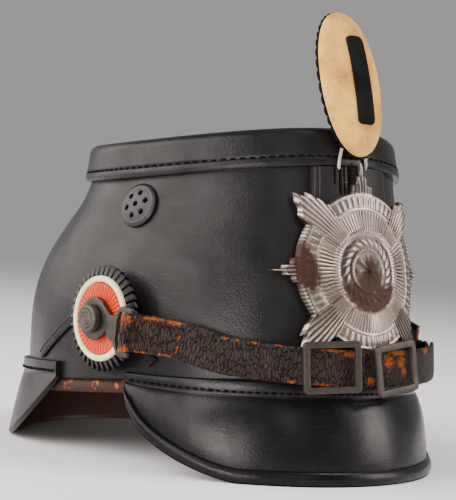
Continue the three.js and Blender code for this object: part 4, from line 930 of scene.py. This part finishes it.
for side, sign, out, end_angle in (("right", 1, strap_over, STRAP_FREE_ANGLE),
                                   ("left", -1, strap_under, -STRAP_UNDER_ANGLE)):
    places, ways, lengths = strap_line(side, sign, out, end_angle)
    bar_up = lug_line(side, LUG_REACH, 1) - lug_line(side, LUG_REACH, 0)

    def strap_place(s, n, w):
        """n off the strap's inner face and w across it from -1 to 1, in the hat's frame."""
        on_line = np.clip(s, 0, lengths[-1])
        p = np.array([np.interp(on_line, lengths, places[:, k]) for k in range(3)])
        way = np.array([np.interp(on_line, lengths, ways[:, k]) for k in range(3)])
        way /= np.linalg.norm(way)
        blend = min(max(s / STRAP_TAIL, 0), 1)
        up = np.array([0, -bar_up[0], bar_up[1]]) * (1 - blend) + np.array([0, 0, 1]) * blend
        outwards = np.cross(way, up) * sign
        outwards /= np.linalg.norm(outwards)
        across = np.cross(outwards, way) * sign
        across = across / np.linalg.norm(across) if s > STRAP_TAIL else up / np.linalg.norm(up)
        return p + way * (s - on_line) + outwards * n + across * w * STRAP_WIDTH / 2

    hole = LUG_WALL / 2 * math.sqrt(2) + GAP
    loop = hole + STRAP_LOOP_WALL
    strap_start = hole + STRAP_LOOP_WALL / 2
    face = np.linspace(-0.93, 0.93, 35)
    random.seed(11)
    sway = [random.uniform(-1, 1) for _ in range(40)]

    def strap_loop(s, low, high, shift=0.0):
        """The strap's outline at a length, between two heights, a little uneven at its face and edges."""
        ripple = 0.12 * sum(math.sin(s * 0.9 * (k + 1) + sway[k] * 9) / (k + 1) for k in range(4))
        half = STRAP_EDGE + 0.012 * math.sin(s * 0.55 + sway[5] * 5) + 0.008 * math.sin(s * 1.7)
        top = [strap_place(s, high - STRAP_SOFT * abs(w) ** 6 + ripple * 0.25 * (1 - w ** 4), w + shift)
               for w in face]
        rim = [strap_place(s, low + (high - low) * t, half + shift) for t in (0.75, 0.25)]
        under = [strap_place(s, low, w + shift) for w in face[::-1]]
        foot = [strap_place(s, low + (high - low) * t, shift - half) for t in (0.25, 0.75)]
        return np.array(top + rim + under + foot)

    steps = np.append(np.linspace(strap_start, lengths[-1] - 0.6, 360), lengths[-1])
    main = [strap_loop(s, 0.02, STRAP_WALL) for s in steps]
    main[-1] = main[-1] * 0.2 + strap_loop(lengths[-1] - 0.3, 0.4, STRAP_WALL - 0.4) * 0.8
    strap = sew(f"strap_{side}", main, strap_leather, [f"chin_strap_{side}"],
                round_it=False, sharp=50)
    tail = [strap_loop(s, -STRAP_WALL, -0.05, 0.07) for s in np.linspace(strap_start, STRAP_SEWN_LENGTH, 60)]
    tail = sew(f"strap_tail_{side}", tail, strap_leather, round_it=False, sharp=50)
    eye_steps = (-0.985, -0.9, -0.4, 0, 0.4, 0.9, 0.985)
    ring = [[strap_place(radius * math.cos(a), radius * math.sin(a), w)
             for radius, across in ((loop, eye_steps), (hole, eye_steps[::-1])) for w in across]
            for a in np.radians(np.linspace(0, 360, 49)[:-1])]
    eye_loop = sew(f"strap_eye_{side}", ring, strap_leather, sharp=50)
    for one, rubbing in ((strap, 0.95), (tail, 0.4), (eye_loop, 0.95)):
        points = level_points(one)
        near = [np.argmin(((places[::5] - p) ** 2).sum(axis=1)) * 5 for p in points]
        s, w = lengths[near], (points[:, 2] - places[near, 2]) / (STRAP_WIDTH / 2)
        rubbed = np.max([1 - 0.62 * np.hypot((s - middle) / long, (w - across) / wide)
                         for middle, across, long, wide in RUBBED[side]], axis=0)
        keep_marks(one, "wear", np.clip(rubbed * rubbing, 0, 0.72))
    box_line = ([(s, BOX_HALF) for s in np.linspace(BOX_START, BOX_END, 20)]
                + [(BOX_END, w) for w in np.linspace(BOX_HALF, -BOX_HALF, 14)]
                + [(s, -BOX_HALF) for s in np.linspace(BOX_END, BOX_START, 20)])
    stitch(f"strap_stitches_{side}", [strap_place(s, STRAP_WALL + 0.02, w) for s, w in box_line],
           thread(f"brown_thread_{side}", (0.03, 0.01, 0.004, 1)), 2.3, 1.5, 0.5)

# Strap frames
# Two oblong frames of dull grey-brown iron lie over the strap in front.
BUCKLE_LENGTH, BUCKLE_WIDTH, BUCKLE_BAR, BUCKLE_WALL, BUCKLE_CORNER = 28.0, 23.2, 3.1, 2.4, 2.2
BUCKLE_ANGLES = {"right": 17.1, "left": -3.0}
BUCKLE_TURNS = {"right": 4.0, "left": 7.0}
BUCKLE_SOFT = 0.55
# Each row of the bar's outline: a share of the way in from the outer edge, and the height
BUCKLE_SECTION = [(0, BUCKLE_SOFT), (0, BUCKLE_WALL - BUCKLE_SOFT), (0.06, BUCKLE_WALL - 0.15),
                  (0.2, BUCKLE_WALL), (0.8, BUCKLE_WALL), (0.94, BUCKLE_WALL - 0.15),
                  (1, BUCKLE_WALL - BUCKLE_SOFT), (1, BUCKLE_SOFT), (0.8, 0), (0.2, 0)]


def iron(name, dark, light, polish):
    """Old iron: uneven grey-brown, dull, with brighter rubbed patches and small pits."""
    finish = Finish(name)
    place = finish.coordinates()
    cloud = finish.noise(place, 220, 6, 0.7)
    return finish.lay(base_color=finish.blend(cloud, dark, light), metallic=0.75,
                      roughness=finish.spread(cloud, polish + 0.18, polish - 0.1),
                      normal=finish.bump(finish.noise(place, 900, 4), 0.4, 0.0003))


frame_iron = iron("frame_iron", (0.016, 0.0135, 0.011, 1), (0.08, 0.068, 0.056, 1), 0.42)
bar_height = COCKADE_HEIGHT + lug_line("right", LUG_REACH, 0)[1]
for side, angle in BUCKLE_ANGLES.items():
    front, back, width = (float(v[0]) for v in crown_oval(np.array([angle]), np.array([STRAP_FRONT_HEIGHT])))
    speed = math.hypot((width + frame_out) * math.cos(math.radians(angle)),
                       ((front + back) / 2 + frame_out) * math.sin(math.radians(angle)))
    swing = math.degrees((BUCKLE_LENGTH / 2 - BUCKLE_BAR) / speed)
    ends = []
    for a in (angle - swing, angle + swing):
        p = on_crown(a, 0, frame_out)
        p[2] = strap_height(a, bar_height)
        ends.append(p)
    centre, level = (ends[0] + ends[1]) / 2, ends[0] - ends[1]
    level /= np.linalg.norm(level)
    outwards = np.cross(level, [0, 0, 1])
    outwards /= np.linalg.norm(outwards)
    upright = np.cross(outwards, level)
    tilt = math.radians(BUCKLE_TURNS[side])
    along = level * math.cos(tilt) + upright * math.sin(tilt)
    across = upright * math.cos(tilt) - level * math.sin(tilt)
    columns = []
    for way_x, way_y, first in ((1, 1, 0), (-1, 1, 90), (-1, -1, 180), (1, -1, 270)):
        way, size = np.array([way_x, way_y]), np.array([BUCKLE_LENGTH, BUCKLE_WIDTH]) / 2
        corner, inner_corner = way * (size - BUCKLE_CORNER), way * (size - BUCKLE_BAR)
        for turn in np.radians(np.linspace(first, first + 90, 9)):
            edge = corner + np.array([math.cos(turn), math.sin(turn)]) * BUCKLE_CORNER
            outline = [(edge + (inner_corner - edge) * share, n) for share, n in BUCKLE_SECTION]
            columns.append([centre + along * q[0] + across * q[1] + outwards * n for q, n in outline])
    sew(f"frame_{side}", columns, frame_iron, [f"buckle_{side}"], sharp=40)

# Cockades
# On each side a pleated black rim, a smooth cream ring and a fluted orange disc, stacked on the axle of
# the post. The valleys of the pleats and flutes get painted shade: a darker colour and no shine.
COCKADE_RADIUS, COCKADE_RING_RADIUS, COCKADE_DISC_RADIUS, COCKADE_DISH = 24.5, 19.6, 16.4, 1.6
RIM_PLEATS, DISC_FLUTES, PLEAT_DEPTH, POST_SHAFT_RADIUS = 38, 45, 0.8, 3.0


def sideways(local, sign):
    """Points given as forward, up and outwards from where the axle meets the cockade's base."""
    p = np.asarray(local, float)
    return np.stack([-sign * (cockade_base + p[..., 2]), -COCKADE_FORWARD - p[..., 0],
                     COCKADE_HEIGHT + p[..., 1]], axis=-1)


def turned(name, profile, count, sign, sharp, material, replaced=(), wave=None, folds=None):
    """A piece turned about the axle from a closed profile of radius and height."""
    columns = []
    for turn in np.linspace(0, 360, count + 1)[:-1]:
        rows = np.array([wave(turn, r, z) if wave else (r, z) for r, z in profile])
        c, s = math.cos(math.radians(turn)), math.sin(math.radians(turn))
        columns.append(sideways(np.stack([rows[:, 0] * c, rows[:, 0] * s, rows[:, 1]], axis=-1), sign))
    made = sew(name, columns, material, replaced, sharp=sharp)
    # folds gives how much painted shade falls at each turn about the axle, kept as the mark fold.
    if folds:
        _, back, up = level_points(made).T
        turns = np.degrees(np.arctan2(up - COCKADE_HEIGHT, -COCKADE_FORWARD - back))
        keep_marks(made, "fold", [folds(turn) for turn in turns])
    return made


def painted(name, dark, light, gloss, scale, fold_shade=None, shine=0.25):
    """Old paint or lacquered cloth, uneven in colour, with painted shade in its folds: darker there and
    without shine.
    """
    finish = Finish(name)
    fold, cloud = finish.mark("fold"), finish.noise(finish.coordinates(), scale, 5, 0.65)
    return finish.lay(base_color=finish.blend(fold, finish.blend(cloud, dark, light), fold_shade or dark),
                      roughness=gloss, specular_ior_level=finish.spread(fold, shine, 0.0),
                      normal=finish.bump(cloud, 0.15, 0.0004))


cream = painted("cream_paint", (0.60, 0.46, 0.24, 1), (0.82, 0.71, 0.46, 1), 0.4, 260)
# The last colour given to the orange paint and to the rim cloth is the painted shade in their folds.
orange = painted("orange_paint", (0.36, 0.022, 0.003, 1), (0.66, 0.058, 0.006, 1), 0.5, 300,
                 (0.12, 0.005, 0.001, 1))
rim_cloth = painted("rim_cloth", (0.002, 0.0018, 0.002, 1), (0.026, 0.023, 0.0235, 1), 0.32, 900,
                    (0.0008, 0.0008, 0.0008, 1), 0.2)


def pleat(turn, r, z):
    phase = (turn * RIM_PLEATS / 360) % 1
    lean = phase / 0.78 if phase < 0.78 else (1 - phase) / 0.22
    share = min(max((r - COCKADE_RING_RADIUS) / (COCKADE_RADIUS - COCKADE_RING_RADIUS), 0), 1)
    notch = 1.5 * max(0, 1 - abs(phase - 0.9) / 0.1) * share
    return r - notch - 0.25 * (1 - lean) * share, z + (lean - 0.7) * 1.5 * share


# Painted shade in the valleys of the rim's pleats, from 0 to 1.
def pleat_shade(turn):
    phase = (turn * RIM_PLEATS / 360) % 1
    return min(1.0, max(0.0, abs(phase - 0.5) * 4.2 - 0.75))


# Painted shade in the valleys of the disc's flutes, from 0 to 1.
def flute_shade(turn):
    return max(0.0, 1 - abs(math.cos(math.radians(turn * DISC_FLUTES / 2))) * 2.2)


def flute(turn, r, z):
    share = min(max((r - POST_SHAFT_RADIUS) / (COCKADE_DISC_RADIUS - POST_SHAFT_RADIUS), 0), 1)
    return r, z + (abs(math.cos(math.radians(turn * DISC_FLUTES / 2))) - 0.6) * 0.55 * share ** 0.7


for side, sign in (("right", 1), ("left", -1)):
    rise, top_rim = ring_top * 0.65, COCKADE_WALL + PLEAT_DEPTH / 2
    ring_in = COCKADE_RING_RADIUS + GAP
    rim = [(ring_in + (COCKADE_RADIUS - ring_in) * t, rise + (top_rim - rise) * t)
           for t in (0, 0.3, 0.6, 0.85, 1)]
    rim_profile = rim + [(r, z - COCKADE_WALL) for r, z in rim[::-1]]
    turned(f"rim_{side}", rim_profile, RIM_PLEATS * 12, sign, 30, rim_cloth,
           [f"cockade_rim_{side}"], pleat, pleat_shade)
    low_r, high_r = COCKADE_DISC_RADIUS + GAP, COCKADE_RING_RADIUS
    bulge = [(low_r + (high_r - low_r) * (0.5 - 0.5 * math.cos(a)), ring_top - 1.2 + 1.2 * math.sin(a))
             for a in np.radians(np.linspace(0, 180, 13))]
    turned(f"ring_{side}", [(low_r, 1.8)] + bulge + [(high_r, 0), (high_r - 1, 0)], 120, sign, 40,
           cream, [f"cockade_ring_{side}"])
    bore, low, high = POST_SHAFT_RADIUS + GAP, ring_top - COCKADE_DISH, ring_top - 0.55
    dish = [(bore + (COCKADE_DISC_RADIUS - bore) * t, low + (high - low) * t ** 0.8)
            for t in np.linspace(0, 1, 14)]
    turned(f"disc_{side}", dish + [(r, z - COCKADE_WALL) for r, z in dish[::-1]], DISC_FLUTES * 10, sign, 60,
           orange, [f"cockade_disc_{side}"], flute, flute_shade)

# Posts
# A turned iron post holds each cockade and lug: a shaft through the crown, a neck, and a thick head with
# shallow rings turned in its face.
POST_HEAD_RADIUS, POST_HEAD_DEPTH, POST_NECK_RADIUS = 6.5, 4.2, 4.6
# Each row of the rings in the head's face: radius and depth
POST_RINGS = [(4.9, 0.3), (4.6, 0.55), (4.3, 0.15), (3.1, 0.05), (2.8, 0.3), (2.5, 0), (1.2, 0), (1.0, 0.2),
              (0.8, 0), (0, 0)]
lug_top = lug_base + LUG_WALL
head_foot = lug_top + GAP
head_face = head_foot + POST_HEAD_DEPTH
post_iron = iron("post_iron", (0.02, 0.018, 0.015, 1), (0.10, 0.088, 0.074, 1), 0.38)
for side, sign in (("right", 1), ("left", -1)):
    low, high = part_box(f"side_post_{side}")
    foot = min(abs(low.x), abs(high.x)) * 1000 - cockade_base
    shaft = [(0, foot), (POST_SHAFT_RADIUS, foot), (POST_SHAFT_RADIUS, lug_base - GAP),
             (POST_NECK_RADIUS, lug_base - GAP), (POST_NECK_RADIUS, head_foot)]
    head = [(POST_HEAD_RADIUS - 0.5, head_foot), (POST_HEAD_RADIUS, head_foot + 0.5),
            (POST_HEAD_RADIUS, head_face - 1.0), (POST_HEAD_RADIUS - 0.35, head_face - 0.55),
            (POST_HEAD_RADIUS - 0.9, head_face - 0.4)]
    rings = [(r, head_face - sunk) for r, sunk in POST_RINGS]
    turned(f"post_{side}", shaft + head + rings + [(0, foot)] * 2, 72, sign, 35, post_iron,
           [f"side_post_{side}"])

# Lugs
# The forked iron lug sits on the post's neck, and its two arms carry the bar that the strap is looped
# round. Its edges are rubbed round.
lug_iron = iron("lug_iron", (0.013, 0.0115, 0.0095, 1), (0.07, 0.062, 0.052, 1), 0.42)


def rounded_copy(node_name, width):
    """A copy of a solid's mesh in place, with its sharp edges rounded."""
    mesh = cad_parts[node_name].data.copy()
    work = bmesh.new()
    work.from_mesh(mesh)
    bmesh.ops.remove_doubles(work, verts=work.verts, dist=2e-6)
    bmesh.ops.dissolve_limit(work, angle_limit=math.radians(3), verts=work.verts, edges=work.edges)
    sharp = [e for e in work.edges if len(e.link_faces) == 2 and e.calc_face_angle() > math.radians(50)]
    bmesh.ops.bevel(work, geom=sharp, offset=width, segments=2, profile=0.5, affect="EDGES",
                    clamp_overlap=True)
    bmesh.ops.triangulate(work, faces=work.faces)
    work.to_mesh(mesh)
    work.free()
    mesh.materials.clear()
    return mesh


for side in ("right", "left"):
    piece(f"lug_{side}", rounded_copy(f"strap_lug_{side}", 0.00035), 35, lug_iron,
          [f"strap_lug_{side}"])

# Vents
# A small domed leather-coloured boss high on each side, with a middle hole and a ring of six round it.
# The holes are shallow dips whose bottoms are painted black and without shine, as painted shade.
VENT_RADIUS, VENT_RISE, VENT_HOLE_RADIUS, VENT_HOLE_CIRCLE = 10.7, 2.6, 1.2, 5.6
VENT_ANGLE, VENT_DROP, VENT_HOLES = 79.5, 13.6, 6
VENT_HEIGHT = float(lid_height(VENT_ANGLE)) - VENT_DROP
finish = Finish("vent_metal")
# The mark hole paints the dips black and takes their shine away: painted shade for the dark inside a hole.
hole, cloud = finish.mark("hole"), finish.noise(finish.coordinates(), 260, 5)
metal = finish.blend(cloud, (0.004, 0.0037, 0.004, 1), (0.012, 0.011, 0.0115, 1))
vent_metal = finish.lay(
    base_color=finish.blend(hole, metal, (0.001, 0.001, 0.001, 1)), roughness=finish.spread(hole, 0.38, 1.0),
    specular_ior_level=finish.spread(hole, 0.3, 0.0), normal=finish.bump(cloud, 0.3, 0.0005))
for side, sign in (("right", 1), ("left", -1)):
    angle, step = sign * VENT_ANGLE, 0.5
    right = on_crown(angle - step, VENT_HEIGHT, 0) - on_crown(angle + step, VENT_HEIGHT, 0)
    up = on_crown(angle, VENT_HEIGHT + step, 0) - on_crown(angle, VENT_HEIGHT - step, 0)
    right, up = right / np.linalg.norm(right), up / np.linalg.norm(up)
    normal = np.cross(right, up)
    normal /= np.linalg.norm(normal)
    up = np.cross(normal, right)
    base = on_crown(angle, VENT_HEIGHT, 0) + normal * 2 * GAP
    spots = [(0, 0)] + [(VENT_HOLE_CIRCLE * math.cos(a), VENT_HOLE_CIRCLE * math.sin(a))
                        for a in np.radians(15 + 60 * np.arange(VENT_HOLES))]
    columns = []
    for turn in np.radians(np.linspace(0, 360, 193)[:-1]):
        radii = np.concatenate([np.linspace(0, VENT_RADIUS * 0.93, 44), VENT_RADIUS * np.array([0.97, 1.0])])
        x, y = radii * math.cos(turn), radii * math.sin(turn)
        near = np.min([np.hypot(x - hx, y - hy) for hx, hy in spots], axis=0)
        depth = np.clip((VENT_HOLE_RADIUS + 0.12 - near) / 0.3, 0, 1)
        dome = 0.6 + (VENT_RISE - 0.6) * (1 - (radii / VENT_RADIUS) ** 2.2)
        ridge = 0.18 * np.exp(-((radii - VENT_RADIUS * 0.86) / 0.5) ** 2)
        height = dome + ridge - depth * 1.9
        height[-1] = 0.25
        seat = base + right * x[:, None] + up * y[:, None]
        columns.append(np.concatenate([seat + normal * height[:, None], seat[::-1]]))
    vent = sew(f"vent_boss_{side}", columns, vent_metal, [f"vent_{side}"], sharp=70)
    off = level_points(vent) - base
    x, y = off @ right, off @ up
    near = np.min([np.hypot(x - hx, y - hy) for hx, hy in spots], axis=0)
    # Marks the bottoms of the dips for their painted shade.
    keep_marks(vent, "hole", np.clip((VENT_HOLE_RADIUS + 0.05 - near) / 0.2, 0, 1))

# Field badge
# A padded oval of tan felt on a black scalloped backing, with an upright bar of black felt, leaning back
# over the lid on two wire pins.
BADGE_HALF_HEIGHT, BADGE_HALF_WIDTH, BADGE_DEPTH, BADGE_BACK_WALL = 35.0, 17.8, 8.0, 1.4
BADGE_LEAN, BADGE_FOOT, BADGE_SCALLOPS = 11.5, 4.0, 40
BAR_HALF_HEIGHT, BAR_DROP, BAR_HALF_WIDTH, BAR_CORNER, BAR_WALL = 21.3, 0.5, 5.2, 2.5, 1.2
lid_out = GAP + LID_WALL + LID_STRIP_PROUD
badge_foot = np.array([-FRONT_ASIDE, -(TOP_FRONT + lid_out + 2 * GAP), LID_FRONT_HEIGHT + BADGE_FOOT])
badge_up = np.array([0, math.sin(math.radians(BADGE_LEAN)), math.cos(math.radians(BADGE_LEAN))])
badge_face = np.array([0, -badge_up[2], badge_up[1]])


def badge_place(x, y, out):
    return badge_foot + np.array([x, 0, 0]) + badge_up * (y + BADGE_HALF_HEIGHT) + badge_face * out


def badge_outline(angle, grow):
    power = 2 / 2.15
    cos, sin = math.cos(math.radians(angle)), math.sin(math.radians(angle))
    return ((BADGE_HALF_WIDTH + grow) * math.copysign(abs(cos) ** power, cos),
            (BADGE_HALF_HEIGHT + grow) * math.copysign(abs(sin) ** power, sin))


def felt_out(share):
    return BADGE_DEPTH * (1 - min(1, share) ** 2.6) ** (1 / 2.2)


def felt(name, dark, light, fuzz, sheen):
    """Pressed wool felt: soft, matt, with fine short fibres and paler flecks."""
    finish = Finish(name)
    place = finish.coordinates()
    fibres = finish.noise(place, 1300, 6, 0.8)
    flecks = finish.spread(finish.add(fibres, finish.noise(place, 90, 4)), 0, 1, 0.74, 1.22)
    return finish.lay(base_color=finish.blend(flecks, dark, light), roughness=0.95, sheen_weight=sheen,
                      specular_ior_level=0.1, normal=finish.bump(fibres, fuzz, 0.0008))


tan_felt = felt("tan_felt", (0.42, 0.20, 0.033, 1), (0.92, 0.51, 0.115, 1), 0.9, 0.1)
dark_felt = felt("dark_felt", (0.0015, 0.0015, 0.0018, 1), (0.008, 0.008, 0.009, 1), 0.8, 0.0)
felt_base = BADGE_BACK_WALL + GAP
columns = []
for angle in np.linspace(0, 360, 193)[:-1]:
    x, y = badge_outline(angle, 0)
    rings = np.concatenate([np.linspace(0, 0.9, 30), [0.93, 0.955, 0.975, 0.99, 1.0]])
    outer = [badge_place(x * s, y * s, felt_base + 0.6 + felt_out(s)) for s in rings]
    inner = [badge_place(x * s, y * s, felt_base) for s in rings]
    columns.append(outer + inner[::-1])
sew("badge_felt", columns, tan_felt, ["field_badge"], sharp=80)

columns = []
for angle in np.linspace(0, 360, BADGE_SCALLOPS * 10 + 1)[:-1]:
    wave = abs(math.sin(math.radians(angle * BADGE_SCALLOPS / 2)))
    x, y = badge_outline(angle, -0.5 + 1.2 * wave ** 0.7)
    rings = [0, 0.5, 0.9, 0.985, 1.0]
    outer = [badge_place(x * s, y * s, BADGE_BACK_WALL - (0.35 if s == 1 else 0)) for s in rings]
    inner = [badge_place(x * s, y * s, 0.35 if s == 1 else 0) for s in rings]
    columns.append(outer + inner[::-1])
sew("badge_backing", columns, dark_felt, ["field_badge_back"], sharp=50)

# Each row of the bar's outline: a place across it from -1 to 1, and its height over the felt
BAR_SECTION = [(-1, 0.5), (-0.93, 1.0), (-0.6, BAR_WALL), (-0.2, BAR_WALL + 0.15), (0.2, BAR_WALL + 0.15),
               (0.6, BAR_WALL), (0.93, 1.0), (1, 0.5)]
bar_base = BADGE_BACK_WALL + 2 * GAP + 0.6


def bar_place(x, y, out):
    share = math.hypot(x / BADGE_HALF_WIDTH, y / BADGE_HALF_HEIGHT)
    return badge_place(x, y, bar_base + felt_out(share) + out)


columns = []
for along in BAR_HALF_HEIGHT * np.sin(np.radians(np.linspace(-90, 90, 110))):
    end = max(0, abs(along) - (BAR_HALF_HEIGHT - BAR_CORNER)) / BAR_CORNER
    half = BAR_HALF_WIDTH - BAR_CORNER * (1 - math.sqrt(max(0, 1 - end ** 2)))
    columns.append([bar_place(x * half, along - BAR_DROP, out) for x, out in BAR_SECTION]
                   + [bar_place(x * half, along - BAR_DROP, -0.2) for x, _ in BAR_SECTION[::-1]])
sew("badge_bar", columns, dark_felt, ["field_badge_bar"], round_it=False, sharp=60)

# Badge pins
# Two pale wires bent from the badge's foot down over the lid's strip and into the pocket.
pin_metal = iron("pin_metal", (0.12, 0.11, 0.10, 1), (0.34, 0.31, 0.28, 1), 0.38)
for side in ("right", "left"):
    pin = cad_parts[f"badge_pin_{side}"]
    for spot in pin.material_slots:
        spot.material = pin_metal
